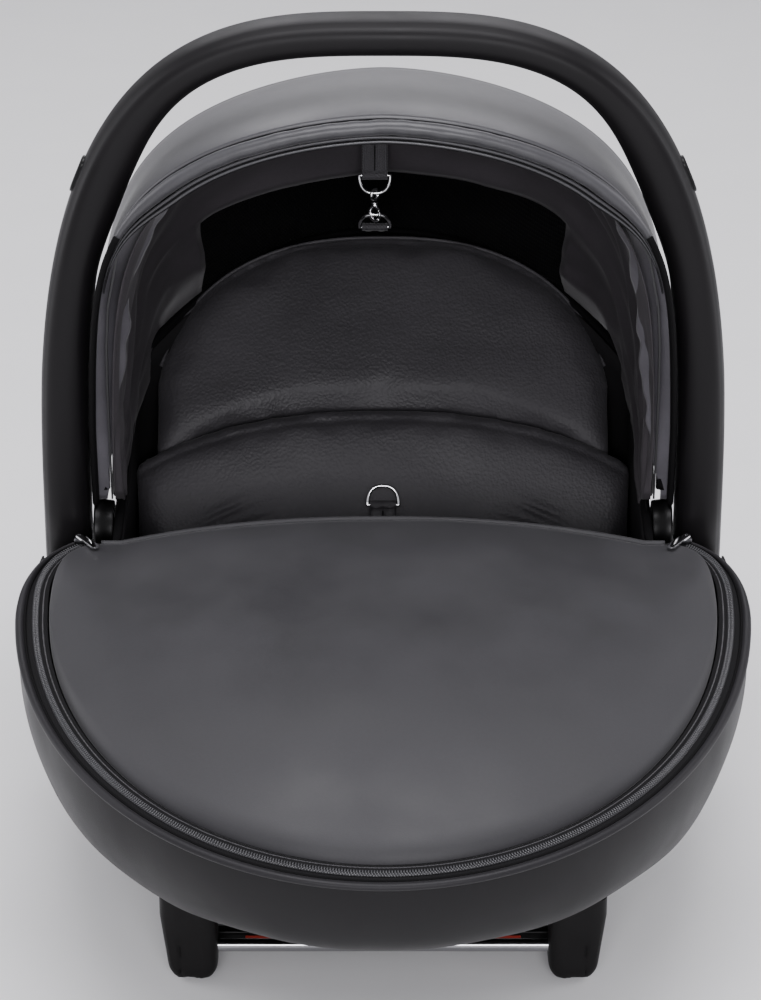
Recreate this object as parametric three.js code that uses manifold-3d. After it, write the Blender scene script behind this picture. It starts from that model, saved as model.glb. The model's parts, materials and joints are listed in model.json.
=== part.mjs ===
// Carrier pod of a travel-system pet stroller: a plastic tub on two runners, a U-shaped carry
// handle, a folding hood, a zipped padded apron, cushions and a short safety tether.
// Millimetres, +Z up, front towards -Y. Everything is drawn about the hood pivot axis, which
// runs along X through the drawing origin, and the finished group is set down on the floor.
import * as THREE from 'three';
import { mergeVertices } from 'three/addons/utils/BufferGeometryUtils.js';
import Module from 'manifold-3d';

const wasm = await Module();
wasm.setup();

// ---------------------------------------------------------------- driving dimensions
const FLOOR = -205;                 // floor level below the hood pivot
const GAP = 0.4;                    // clearance between pieces that touch

const RIM_FRONT_LEVEL = 6;          // rim height at the pivot
const RIM_FRONT_SLOPE = 0.17;       // the front rim falls towards the nose
const RIM_REAR_RISE = 99;           // the rear rim rises to hold the back cushion
const RIM_REAR_POWER = 1.4;
const BOWL_MIDDLE_Y = -70;          // where the bowl is widest
const BOWL_HALF_WIDTH = 222;
const BOWL_NOSE = 280;              // nose ahead of the widest section, at the rim
const BOWL_TAIL = 338;              // tail behind the widest section, at the rim
const BASE_HALF_WIDTH = 146;
const BASE_NOSE = 166;
const BASE_TAIL = 268;
const BASE_LEVEL = -145;            // underside of the tub
const KEEL_RISE = 10;               // the underside lifts a little towards the nose
const BOWL_ROUNDNESS = 2.35;        // superellipse power of the side profile
const TAIL_ROUNDNESS = 2.1;        // superellipse power of the rear plan outline
const WALL = 3.2;
const TUB_SIDE = 175.4;              // flat sides of the tub beside the handle legs
const SHOULDER_Y = -27;             // the front bowl ends here, ahead of the handle legs

const HANDLE_PIVOT_Z = -45;
const HANDLE_HALF_SPAN = 205.5;      // handle centre line at the legs
const HANDLE_TOP = 336;             // handle centre line at the top
const HANDLE_SQUARENESS = 3.1;
const LEG_THICKNESS = 31;
const GRIP_THICKNESS = 24;
const HANDLE_DEPTH = 40;
const HUB_RADIUS = 26;
const AXLE_RADIUS = 7;

const HOOD_RADIUS = 299;
const HOOD_HALF_WIDTH = 183;
const HOOD_CROWN_POWER = 1.7;       // superellipse powers of the hood cross profile
const HOOD_SIDE_POWER = 6.2;
const HOOD_LAYER = 2;            // step from one nested hood layer to the next
const FABRIC = 1.2;
const BOW_THICKNESS = 1.2;
const FRONT_BOW_ANGLE = 82;         // degrees up from the forward horizontal
const MIDDLE_BOW_ANGLE = 108;
const REAR_BOW_ANGLE = 134;
const HOOD_TAIL_ANGLE = 171;

const ZIP_HALF_WIDTH = 216;
const ZIP_NOSE = 282;
const APRON_CROWN = 30;
const APRON_THICKNESS = 6;
const APRON_FAR_Y = -30;
const SKIRT_OFFSET = 6;

const RUNNER_INNER = 104;
const RUNNER_OUTER = 137;
const RUNNER_FRONT = -226;
const RUNNER_REAR = 196;
const PAD_HEIGHT = 5;
const ROD_RADIUS = 4;

const WEBBING_WIDTH = 18;
const RING_WIRE = 1.6;

// ---------------------------------------------------------------- materials
function finish(color, roughness, metalness = 0) {
  return new THREE.MeshStandardMaterial({ color, roughness, metalness });
}

const leather = finish(0x2e2c2f, 0.45);
const satinFabric = finish(0x47454a, 0.55);
const softShell = finish(0x3f3d42, 0.6);
const meshFabric = finish(0x101012, 0.9);
const shellPlastic = finish(0x232225, 0.5);
const handlePlastic = finish(0x333033, 0.4);
const buttonPlastic = finish(0x0d0d0f, 0.35);
const rubber = finish(0x141416, 0.85);
const tapeFabric = finish(0x161618, 0.8);
const zipCoil = finish(0x0e0e10, 0.4);
const webbing = finish(0x1f1e21, 0.8);
const chrome = finish(0xd2d2d4, 0.15, 1);
const springSteel = finish(0x8b8c90, 0.35, 1);
const darkSteel = finish(0x2a2a2d, 0.4, 1);
const redPlastic = finish(0xb0201c, 0.4);
const bowPlastic = finish(0x1a1a1c, 0.6);

// ---------------------------------------------------------------- geometry helpers
const V = (x, y, z) => new THREE.Vector3(x, y, z);
const radians = THREE.MathUtils.degToRad;
const clamp = THREE.MathUtils.clamp;
const lerp = THREE.MathUtils.lerp;
const power = (value, exponent) => Math.sign(value) * Math.abs(value) ** exponent;

function signedVolume(position, index) {
  const a = V(0, 0, 0);
  const b = V(0, 0, 0);
  const c = V(0, 0, 0);
  let volume = 0;
  for (let i = 0; i < index.count; i += 3) {
    a.fromBufferAttribute(position, index.getX(i));
    b.fromBufferAttribute(position, index.getX(i + 1));
    c.fromBufferAttribute(position, index.getX(i + 2));
    volume += a.dot(b.cross(c)) / 6;
  }
  return volume;
}

// Merges shared vertices and turns every face outward.
function clean(geometry) {
  geometry.deleteAttribute('normal');
  geometry.deleteAttribute('uv');
  const merged = mergeVertices(geometry, 1e-4);
  const index = merged.index;
  if (signedVolume(merged.attributes.position, index) < 0) {
    for (let i = 0; i < index.count; i += 3) {
      const first = index.getX(i);
      index.setX(i, index.getX(i + 1));
      index.setX(i + 1, first);
    }
  }
  merged.computeVertexNormals();
  return merged;
}

function fromTriangles(points, triangles) {
  const geometry = new THREE.BufferGeometry();
  const flat = points.flatMap((p) => [p.x, p.y, p.z]);
  geometry.setAttribute('position', new THREE.Float32BufferAttribute(flat, 3));
  geometry.setIndex(triangles);
  return clean(geometry);
}

// A solid skin between two surfaces outer(u, v) and inner(u, v), with u and v from 0 to 1.
function thickSheet(outer, inner, columns, rows) {
  const points = [];
  const triangles = [];
  const layer = (columns + 1) * (rows + 1);
  for (const surface of [outer, inner]) {
    for (let row = 0; row <= rows; row += 1) {
      for (let column = 0; column <= columns; column += 1) {
        points.push(surface(column / columns, row / rows));
      }
    }
  }
  const at = (column, row, side) => side * layer + row * (columns + 1) + column;
  const quad = (a, b, c, d) => triangles.push(a, b, c, a, c, d);
  for (let row = 0; row < rows; row += 1) {
    for (let column = 0; column < columns; column += 1) {
      quad(at(column, row, 0), at(column + 1, row, 0), at(column + 1, row + 1, 0), at(column, row + 1, 0));
      quad(at(column, row, 1), at(column, row + 1, 1), at(column + 1, row + 1, 1), at(column + 1, row, 1));
    }
  }
  for (let column = 0; column < columns; column += 1) {
    quad(at(column, 0, 0), at(column, 0, 1), at(column + 1, 0, 1), at(column + 1, 0, 0));
    quad(at(column, rows, 0), at(column + 1, rows, 0), at(column + 1, rows, 1), at(column, rows, 1));
  }
  for (let row = 0; row < rows; row += 1) {
    quad(at(0, row, 0), at(0, row + 1, 0), at(0, row + 1, 1), at(0, row, 1));
    quad(at(columns, row, 0), at(columns, row, 1), at(columns, row + 1, 1), at(columns, row + 1, 0));
  }
  return fromTriangles(points, triangles);
}

// A closed body through rings of equally many points, closed by a fan at each end.
function loft(rings) {
  const size = rings[0].length;
  const points = rings.flat();
  const triangles = [];
  for (let ring = 0; ring < rings.length - 1; ring += 1) {
    for (let i = 0; i < size; i += 1) {
      const a = ring * size + i;
      const b = ring * size + ((i + 1) % size);
      triangles.push(a, b, b + size, a, b + size, a + size);
    }
  }
  const caps = [[rings[0], 0, 1], [rings.at(-1), (rings.length - 1) * size, -1]];
  for (const [ring, start, turn] of caps) {
    const centre = ring.reduce((sum, p) => sum.add(p), V(0, 0, 0)).divideScalar(size);
    points.push(centre);
    for (let i = 0; i < size; i += 1) {
      const a = start + i;
      const b = start + ((i + 1) % size);
      triangles.push(points.length - 1, ...(turn > 0 ? [b, a] : [a, b]));
    }
  }
  return fromTriangles(points, triangles);
}

// A superellipse section: across and deep are its half sizes along two unit directions.
function section(centre, along, across, outward, deep, sides, squareness = 2) {
  return Array.from({ length: sides }, (_, i) => {
    const turn = ((i + 0.5) / sides) * 2 * Math.PI;
    return centre.clone()
      .addScaledVector(along, across * power(Math.cos(turn), 2 / squareness))
      .addScaledVector(outward, deep * power(Math.sin(turn), 2 / squareness));
  });
}

// A bar of superellipse section along a list of points, with one fixed sideways direction.
function bar(path, sideways, halfSide, halfOther, sides = 8, squareness = 2) {
  const rings = path.map((point, i) => {
    const ahead = path[Math.min(i + 1, path.length - 1)];
    const behind = path[Math.max(i - 1, 0)];
    const direction = ahead.clone().sub(behind).normalize();
    const other = direction.clone().cross(sideways).normalize();
    const side = other.clone().cross(direction).normalize();
    const scale = typeof halfOther === 'function' ? halfOther(i / (path.length - 1)) : halfOther;
    return section(point, side, halfSide, other, scale, sides, squareness);
  });
  return loft(rings);
}

function solid(geometry) {
  const merged = geometry.index ? geometry : clean(geometry);
  return new wasm.Manifold(new wasm.Mesh({
    numProp: 3,
    vertProperties: Float32Array.from(merged.attributes.position.array),
    triVerts: Uint32Array.from(merged.index.array),
  }));
}

function fromSolid(body) {
  const mesh = body.getMesh();
  const geometry = new THREE.BufferGeometry();
  geometry.setAttribute('position', new THREE.Float32BufferAttribute(mesh.vertProperties, 3));
  geometry.setIndex(Array.from(mesh.triVerts));
  return clean(geometry);
}

function block(x0, x1, y0, y1, z0, z1) {
  const geometry = new THREE.BoxGeometry(Math.abs(x1 - x0), y1 - y0, z1 - z0);
  return clean(geometry.translate((x0 + x1) / 2, (y0 + y1) / 2, (z0 + z1) / 2));
}

// A round bar along X between two stations.
function rodAlongX(x0, x1, y, z, radius, sides = 16) {
  const geometry = new THREE.CylinderGeometry(radius, radius, Math.abs(x1 - x0), sides);
  return clean(geometry.rotateZ(Math.PI / 2).translate((x0 + x1) / 2, y, z));
}

// An outline in the Y-Z plane, given as [y, z] corners or a Shape, made thick along X.
function plateAlongX(shape, x0, x1, curveSegments = 8) {
  const depth = Math.abs(x1 - x0);
  const geometry = new THREE.ExtrudeGeometry(shape, { depth, bevelEnabled: false, curveSegments });
  geometry.applyMatrix4(new THREE.Matrix4().makeBasis(V(0, 1, 0), V(0, 0, 1), V(1, 0, 0)));
  return clean(geometry.translate(Math.min(x0, x1), 0, 0));
}

const assembly = new THREE.Group();
const SIDES = [['left', 1], ['right', -1]];

function add(name, geometry, material, parent = assembly) {
  const mesh = new THREE.Mesh(geometry, material);
  mesh.name = name;
  parent.add(mesh);
  return mesh;
}

// ---------------------------------------------------------------- tub
function rimLevel(y) {
  if (y < 0) {
    return RIM_FRONT_LEVEL + RIM_FRONT_SLOPE * y;
  }
  return RIM_FRONT_LEVEL + RIM_REAR_RISE * (y / (BOWL_MIDDLE_Y + BOWL_TAIL)) ** RIM_REAR_POWER;
}

// A point of the bowl. heading is 0 at the nose and half a turn at the tail, depth runs from
// 0 at the rim to 1 at the underside, and offset moves the surface outwards.
function bowlPoint(heading, depth, offset) {
  const turn = depth * Math.PI / 2;
  const narrow = Math.cos(turn) ** (2 / BOWL_ROUNDNESS);
  const sink = Math.sin(turn) ** (2 / BOWL_ROUNDNESS);
  const halfWidth = lerp(BASE_HALF_WIDTH, BOWL_HALF_WIDTH, narrow) + offset;
  const nose = lerp(BASE_NOSE, BOWL_NOSE, narrow) + offset;
  const tail = lerp(BASE_TAIL, BOWL_TAIL, narrow) + offset;
  const cos = Math.cos(heading);
  const sin = Math.sin(heading);
  const front = cos > 0;
  const x = halfWidth * (front ? sin : power(sin, 2 / TAIL_ROUNDNESS));
  const y = BOWL_MIDDLE_Y - (front ? nose * cos : tail * power(cos, 2 / TAIL_ROUNDNESS));
  const rimY = BOWL_MIDDLE_Y - (front ? BOWL_NOSE * cos : BOWL_TAIL * power(cos, 2 / TAIL_ROUNDNESS));
  const rim = rimLevel(rimY);
  const base = BASE_LEVEL + KEEL_RISE * Math.max(0, cos) - offset;
  return V(x, y, rim - (rim - base) * sink);
}

function bowlSolid(offset, raise, sideLimit, shoulder) {
  const around = 44;
  const levels = 7;
  const ring = (depth, lift) => Array.from({ length: around }, (_, i) => {
    const point = bowlPoint((i / around) * 2 * Math.PI, depth, offset);
    point.z += lift;
    return point;
  });
  const rings = raise > 0 ? [ring(0, raise)] : [];
  for (let level = 0; level <= levels; level += 1) {
    rings.push(ring(level / levels, 0));
  }
  let body = solid(loft(rings));
  for (const [, side] of SIDES) {
    const slot = block(side * sideLimit, side * 400, shoulder, 500, -400, 400);
    body = body.subtract(solid(slot));
  }
  return body;
}

function tub() {
  let body = bowlSolid(0, 0, TUB_SIDE, SHOULDER_Y);
  body = body.subtract(bowlSolid(-WALL, 30, TUB_SIDE - WALL, SHOULDER_Y - WALL));
  for (const [, side] of SIDES) {
    const start = side * (TUB_SIDE - 20);
    const end = side * (TUB_SIDE + 20);
    body = body.subtract(solid(rodAlongX(start, end, 0, HANDLE_PIVOT_Z, AXLE_RADIUS + GAP)));
    body = body.subtract(solid(rodAlongX(start, end, 0, -6, 4 + GAP)));
  }
  return fromSolid(body);
}
add('tub_shell', tub(), shellPlastic);

// ---------------------------------------------------------------- skirt and side fairings
const SKIRT_TOP_DEPTH = 0.004;
const SKIRT_HEM_DEPTH = 0.86;

// The rear hem of the skirt slants forwards as it runs down the flank.
const skirtSweep = (depth) => 93 - 28 * depth ** 1.4;

function skirtPoint(u, v, offset) {
  const depth = lerp(SKIRT_TOP_DEPTH, SKIRT_HEM_DEPTH, v);
  const sweep = radians(skirtSweep(depth));
  return bowlPoint(lerp(-sweep, sweep, u), depth, offset);
}
const skirtOuter = (u, v) => skirtPoint(u, v, SKIRT_OFFSET + 1.5 * Math.sin(Math.PI * v));
const skirtInner = (u, v) => skirtPoint(u, v, SKIRT_OFFSET - 3.5);
add('fabric_skirt', thickSheet(skirtOuter, skirtInner, 36, 6), softShell);

// The fairing carries the line of the bowl back over the handle hub. It stands clear of the
// swinging leg at the top and comes in to the tub along its foot.
const FAIRING_TOP_DEPTH = 0.13;
const FAIRING_FOOT_DEPTH = 0.96;
const FAIRING_REAR_HEADING = 105;
const FAIRING_PROUD = 15.5;
const FAIRING_FOOT_PROUD = 4;
const FAIRING_THICKNESS = 3;

function fairing(side) {
  const surface = (inset) => (u, v) => {
    const depth = lerp(FAIRING_TOP_DEPTH, FAIRING_FOOT_DEPTH, v);
    const heading = radians(lerp(skirtSweep(depth) + 1.3, FAIRING_REAR_HEADING, u));
    const proud = lerp(FAIRING_PROUD, FAIRING_FOOT_PROUD, v ** 2.6);
    return bowlPoint(side * heading, depth, proud - inset);
  };
  return thickSheet(surface(0), surface(FAIRING_THICKNESS), 8, 7);
}
for (const [name, side] of SIDES) {
  add(`side_fairing_${name}`, fairing(side), shellPlastic);
}

// ---------------------------------------------------------------- carry handle
const HANDLE_TURNS = 40;
const BUTTON_TURN = radians(36.4);
const BUTTON_LENGTH = 26;
const BUTTON_WIDTH = 13;
const BUTTON_PROUD = 1.2;
const BUTTON_SEAT = 4.5;
const BUTTON_TRAVEL = 3;
const SPRING_HEIGHT = 4;

function handlePoint(turn) {
  const x = HANDLE_HALF_SPAN * power(Math.cos(turn), 2 / HANDLE_SQUARENESS);
  const z = HANDLE_TOP * Math.sin(turn) ** (2 / HANDLE_SQUARENESS);
  return V(x, 0, z);
}

// The tube is thin at the grip and thicker down the legs; t runs 0 to 1 from leg to leg.
function tubeThickness(t) {
  const legShare = Math.abs(2 * t - 1) ** 2.4;
  return lerp(GRIP_THICKNESS, LEG_THICKNESS, clamp(1.35 * legShare, 0, 1));
}

// A frame on the outer face of one shoulder: X along the tube, Y straight out of it.
function shoulderFrame(side) {
  const here = handlePoint(BUTTON_TURN);
  const along = handlePoint(BUTTON_TURN + 0.02).sub(here).normalize();
  const out = V(along.z, 0, -along.x);
  here.addScaledVector(out, tubeThickness(BUTTON_TURN / Math.PI) / 2);
  for (const vector of [here, along, out]) {
    vector.x *= side;
  }
  const across = along.clone().cross(out);
  return new THREE.Matrix4().makeBasis(along, out, across).setPosition(here);
}

// A stadium outline made thick along the frame's Y, between two heights.
function stadium(length, width, low, high, matrix) {
  const half = (length - width) / 2;
  const shape = new THREE.Shape();
  shape.absarc(half, 0, width / 2, -Math.PI / 2, Math.PI / 2);
  shape.absarc(-half, 0, width / 2, Math.PI / 2, 1.5 * Math.PI);
  const depth = high - low;
  const geometry = new THREE.ExtrudeGeometry(shape, { depth, bevelEnabled: false, curveSegments: 6 });
  geometry.rotateX(-Math.PI / 2).translate(0, low, 0).applyMatrix4(matrix);
  return clean(geometry);
}

function handleTube() {
  const legEnd = HANDLE_PIVOT_Z + HUB_RADIUS + GAP;
  const path = [V(HANDLE_HALF_SPAN, 0, legEnd)];
  for (let i = 1; i < HANDLE_TURNS; i += 1) {
    path.push(handlePoint((i / HANDLE_TURNS) * Math.PI));
  }
  path.push(V(-HANDLE_HALF_SPAN, 0, legEnd));
  let body = solid(bar(path, V(0, 1, 0), HANDLE_DEPTH / 2, (t) => tubeThickness(t) / 2, 12, 2.6));
  for (const [, side] of SIDES) {
    const floor = -(BUTTON_SEAT + BUTTON_TRAVEL + SPRING_HEIGHT + 2 * GAP);
    const length = BUTTON_LENGTH + 2 * GAP;
    const width = BUTTON_WIDTH + 2 * GAP;
    body = body.subtract(solid(stadium(length, width, floor, 12, shoulderFrame(side))));
  }
  return fromSolid(body);
}
add('carry_handle', handleTube(), handlePlastic);

function hub(side) {
  const shape = new THREE.Shape();
  shape.absarc(0, HANDLE_PIVOT_Z, HUB_RADIUS, 0, 2 * Math.PI);
  const bore = new THREE.Path();
  bore.absarc(0, HANDLE_PIVOT_Z, AXLE_RADIUS + GAP, 0, 2 * Math.PI, true);
  shape.holes.push(bore);
  const half = LEG_THICKNESS / 2;
  return plateAlongX(shape, side * (HANDLE_HALF_SPAN - half), side * (HANDLE_HALF_SPAN + half), 12);
}

for (const [name, side] of SIDES) {
  const frame = shoulderFrame(side);
  const button = stadium(BUTTON_LENGTH, BUTTON_WIDTH, -BUTTON_SEAT, BUTTON_PROUD, frame);
  add(`release_button_${name}`, button, buttonPlastic);
  const springFloor = -(BUTTON_SEAT + BUTTON_TRAVEL + SPRING_HEIGHT + GAP);
  const spring = new THREE.CylinderGeometry(3.5, 3.5, SPRING_HEIGHT, 12);
  spring.translate(0, springFloor + SPRING_HEIGHT / 2, 0).applyMatrix4(frame);
  add(`button_spring_${name}`, clean(spring), springSteel);
  add(`handle_hub_${name}`, hub(side), handlePlastic);
  const outside = HANDLE_HALF_SPAN + LEG_THICKNESS / 2;
  const axle = rodAlongX(side * (TUB_SIDE - 12), side * outside, 0, HANDLE_PIVOT_Z, AXLE_RADIUS, 20);
  add(`handle_axle_${name}`, axle, darkSteel);
  const washer = rodAlongX(side * (outside + GAP), side * (outside + 2.2), 0, HANDLE_PIVOT_Z, 12, 20);
  add(`hub_cap_${name}`, washer, buttonPlastic);
  const spacer = new THREE.Shape();
  spacer.absarc(0, HANDLE_PIVOT_Z, 22, 0, 2 * Math.PI);
  const bore = new THREE.Path();
  bore.absarc(0, HANDLE_PIVOT_Z, AXLE_RADIUS + GAP, 0, 2 * Math.PI, true);
  spacer.holes.push(bore);
  const inside = HANDLE_HALF_SPAN - LEG_THICKNESS / 2 - GAP;
  const boss = plateAlongX(spacer, side * (TUB_SIDE + GAP), side * inside, 10);
  add(`detent_ring_${name}`, boss, darkSteel);
}

// ---------------------------------------------------------------- hood
const HOOD_HEEL = 0.075;            // the fabric starts just clear of the pivot plates

// Hood layers are surfaces of revolution about the pivot axis. slack 0 is the outermost
// surface; each mm of slack is 1 mm further inside.
function hoodPoint(share, angle, slack) {
  const side = Math.sign(share);
  const reach = Math.abs(share);
  const lastPart = 0.62;
  const shoulder = 1.37;
  const width = HOOD_HALF_WIDTH - slack;
  const radius = HOOD_RADIUS - slack;
  const turn = Math.min(reach / lastPart, 1) * shoulder;
  const low = Math.cos(shoulder) ** (2 / HOOD_SIDE_POWER);
  const down = Math.max(0, (reach - lastPart) / (1 - lastPart));
  const height = down > 0 ? lerp(low, HOOD_HEEL, down) : Math.cos(turn) ** (2 / HOOD_SIDE_POWER);
  const across = (1 - height ** HOOD_SIDE_POWER) ** (1 / HOOD_CROWN_POWER);
  const distance = radius * height;
  const x = side * width * across;
  return V(x, -distance * Math.cos(radians(angle)), distance * Math.sin(radians(angle)));
}

function hoodPanel(fromAngle, toAngle, slack, rows) {
  const surface = (inset) => (u, v) => hoodPoint(2 * u - 1, lerp(fromAngle, toAngle, v), slack + inset);
  return thickSheet(surface(0), surface(FABRIC), 28, rows);
}

const SEAM_LAP = 0.8;
const frontPanel = hoodPanel(FRONT_BOW_ANGLE, MIDDLE_BOW_ANGLE, 0, 4);
const middlePanel = hoodPanel(MIDDLE_BOW_ANGLE - SEAM_LAP, REAR_BOW_ANGLE, HOOD_LAYER, 4);
add('hood_front_panel', frontPanel, satinFabric);
add('hood_middle_panel', middlePanel, satinFabric);

const WINDOW_TOP_ANGLE = 146;
const WINDOW_FOOT_ANGLE = 165;
const WINDOW_SHARE = 0.4;

// The rear panel is a frame round the mesh window.
function windowCutter(grow) {
  const slack = 2 * HOOD_LAYER;
  const surface = (inset) => (u, v) => {
    const share = (2 * u - 1) * (WINDOW_SHARE + 0.02 * grow);
    const angle = lerp(WINDOW_TOP_ANGLE - grow, WINDOW_FOOT_ANGLE + grow, v);
    return hoodPoint(share, angle, slack + inset);
  };
  return thickSheet(surface(grow > 0 ? -6 : 0.2), surface(grow > 0 ? 8 : 1), 10, 3);
}
const rearPanel = solid(hoodPanel(REAR_BOW_ANGLE - SEAM_LAP, HOOD_TAIL_ANGLE, 2 * HOOD_LAYER, 6));
add('hood_rear_panel', fromSolid(rearPanel.subtract(solid(windowCutter(0.15)))), satinFabric);
add('mesh_window', windowCutter(0), meshFabric);

// The bows lie in one layer under the fabric, a little behind the seams that they carry.
const BOW_SLACK = 3 * HOOD_LAYER;
const BOW_LAG = 1.4;                // degrees behind the seam
const BOW_HALF_ANGLE = 0.86;
const BOW_ARM_FLARE = 0.7;          // extra half angle down the arms

function bow(seamAngle) {
  const surface = (inset) => (u, v) => {
    const share = 2 * u - 1;
    const arm = clamp((Math.abs(share) - 0.5) / 0.5, 0, 1);
    const half = BOW_HALF_ANGLE + BOW_ARM_FLARE * arm;
    return hoodPoint(share, seamAngle + BOW_LAG + half * (2 * v - 1), BOW_SLACK + inset);
  };
  return thickSheet(surface(0), surface(BOW_THICKNESS), 28, 1);
}
add('hood_front_bow', bow(FRONT_BOW_ANGLE), bowPlastic);
add('hood_middle_bow', bow(MIDDLE_BOW_ANGLE), bowPlastic);
add('hood_rear_bow', bow(REAR_BOW_ANGLE), bowPlastic);

// Rolled binding round the front edge.
function rimBar(slack, ahead, halfAlong, halfOut, sides) {
  const edge = radians(FRONT_BOW_ANGLE);
  const forwards = V(0, -Math.sin(edge), -Math.cos(edge));
  const path = [];
  for (let i = 0; i <= 32; i += 1) {
    path.push(hoodPoint(i / 16 - 1, FRONT_BOW_ANGLE, slack).addScaledVector(forwards, ahead));
  }
  return bar(path, forwards, halfAlong, halfOut, sides);
}
add('hood_rim_binding', rimBar(4.5, 5.2, 3.4, 4.6, 8), satinFabric);

for (const [name, side] of SIDES) {
  const disc = rodAlongX(side * (TUB_SIDE + GAP), side * (HOOD_HALF_WIDTH - 1), 0, 0, 18, 24);
  const bossed = solid(disc).subtract(solid(rodAlongX(side * 170, side * 190, 0, -6, 4 + GAP)));
  add(`hood_pivot_disc_${name}`, fromSolid(bossed), bowPlastic);
  const rivet = rodAlongX(side * (TUB_SIDE - 6), side * (HOOD_HALF_WIDTH - 0.6), 0, -6, 4);
  add(`hood_rivet_${name}`, rivet, darkSteel);
}

// ---------------------------------------------------------------- zip, sliders and apron
// The zip follows the rim: half an ellipse round the nose, then a bend inwards on each side
// that ends in front of the handle leg.
const ZIP_END = V(190, -32, 0);
const ZIP_LIFT = 2.1;

function zipPath(outwards) {
  const plan = [];
  const corner = new THREE.QuadraticBezierCurve(
    new THREE.Vector2(ZIP_HALF_WIDTH, BOWL_MIDDLE_Y),
    new THREE.Vector2(ZIP_HALF_WIDTH, ZIP_END.y),
    new THREE.Vector2(ZIP_END.x, ZIP_END.y),
  );
  const bend = corner.getPoints(5).slice(1);
  bend.slice().reverse().forEach((p) => plan.push(new THREE.Vector2(-p.x, p.y)));
  for (let i = 0; i <= 28; i += 1) {
    const heading = (i / 28 - 0.5) * Math.PI;
    plan.push(new THREE.Vector2(
      ZIP_HALF_WIDTH * Math.sin(heading),
      BOWL_MIDDLE_Y - ZIP_NOSE * Math.cos(heading),
    ));
  }
  bend.forEach((p) => plan.push(p.clone()));
  return plan.map((p, i) => {
    const ahead = plan[Math.min(i + 1, plan.length - 1)];
    const behind = plan[Math.max(i - 1, 0)];
    const run = ahead.clone().sub(behind).normalize();
    const x = p.x + run.y * outwards;
    const y = p.y - run.x * outwards;
    return V(x, y, rimLevel(y) + ZIP_LIFT);
  });
}
const UP = V(0, 0, 1);
const TAPE_HALF = 3.4;
const COIL_HALF = 2;
const TAPE_OFFSET = COIL_HALF + GAP + TAPE_HALF;
add('zip_coil', bar(zipPath(0), UP, 1.2, COIL_HALF, 4), zipCoil);
add('zip_tape_lower', bar(zipPath(TAPE_OFFSET), UP, 0.6, TAPE_HALF, 4), tapeFabric);
add('zip_tape_upper', bar(zipPath(-TAPE_OFFSET), UP, 0.6, TAPE_HALF, 4), tapeFabric);

const APRON_HALF_WIDTH = ZIP_HALF_WIDTH - 2 * TAPE_OFFSET;
const APRON_NOSE = ZIP_NOSE - 2 * TAPE_OFFSET;
const APRON_CORNER = 38;            // how far the far corners are drawn forwards

function apronPoint(u, v, drop) {
  const share = Math.sin((u - 0.5) * Math.PI);
  const nose = BOWL_MIDDLE_Y - APRON_NOSE * Math.sqrt(1 - share * share);
  const far = APRON_FAR_Y - 4 - APRON_CORNER * Math.abs(share) ** 10;
  const y = lerp(far, nose, v);
  const crown = (1 - Math.abs(share) ** 2.4) * (0.62 + 1.1 * v) * (1 - v ** 2.2);
  const z = rimLevel(y) + ZIP_LIFT + APRON_THICKNESS / 2 + APRON_CROWN * crown - drop;
  return V(APRON_HALF_WIDTH * share, y, z);
}
const apronTop = (u, v) => apronPoint(u, v, 0);
const apronUnder = (u, v) => apronPoint(u, v, APRON_THICKNESS);
add('apron', thickSheet(apronTop, apronUnder, 22, 9), softShell);

for (const [name, side] of SIDES) {
  const x = side * (ZIP_END.x + 5);
  const z = rimLevel(ZIP_END.y) + ZIP_LIFT + 1.2 + GAP;
  const y = ZIP_END.y;
  add(`zip_slider_${name}`, block(x - 5.5, x + 5.5, y - 4, y + 4, z, z + 4), chrome);
  const tab = new THREE.Shape();
  tab.absarc(0, -22, 4, Math.PI, 2 * Math.PI);
  tab.absarc(0, -3.2, 3.2, 0, Math.PI);
  const slit = new THREE.Path();
  slit.absarc(0, -3.2, 1.4, 0, 2 * Math.PI, true);
  tab.holes.push(slit);
  const pull = new THREE.ExtrudeGeometry(tab, { depth: 1.4, bevelEnabled: false, curveSegments: 8 });
  pull.rotateZ(-side * Math.PI / 5).translate(x + side * 3, y + 2.4, z + 4 + GAP);
  add(`zip_pull_${name}`, clean(pull), chrome);
}

// ---------------------------------------------------------------- cushions
// A frame on a leaning surface: X across, Y up the lean, Z out of it towards the front.
function leanFrame(y, z, slope) {
  const lean = radians(slope);
  const up = V(0, Math.cos(lean), Math.sin(lean));
  const out = V(0, -Math.sin(lean), Math.cos(lean));
  return new THREE.Matrix4().makeBasis(V(1, 0, 0), up, out).setPosition(V(0, y, z));
}

const archHeight = (x, arch, width, power) => arch * (1 - Math.abs(x / width) ** power) ** (1 / power);

// A padded slab with a crowned front; its top edge is half a superellipse and foot(x) its lower edge.
function pad({ frame, halfWidth, archWidth, arch, squareness, foot, thickness, crown, flat = 0 }) {
  const surface = (front) => (u, v) => {
    const x = halfWidth * (2 * u - 1);
    const top = archHeight(x, arch, archWidth, squareness) + flat;
    const edge = (1 - Math.abs(2 * u - 1) ** 4) * (1 - Math.abs(2 * v - 1) ** 4);
    const z = front ? -crown * (1 - edge) : -thickness + 0.8 * crown * (1 - edge);
    return V(x, lerp(foot(x), top, v), z).applyMatrix4(frame);
  };
  return thickSheet(surface(true), surface(false), 12, 6);
}
const backFrame = leanFrame(130, 10, 46);
const middleFrame = leanFrame(122, 29, 61);
const MIDDLE_ARCH = 150;
const MIDDLE_ARCH_WIDTH = 205;
const MIDDLE_ARCH_POWER = 2.2;

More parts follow.
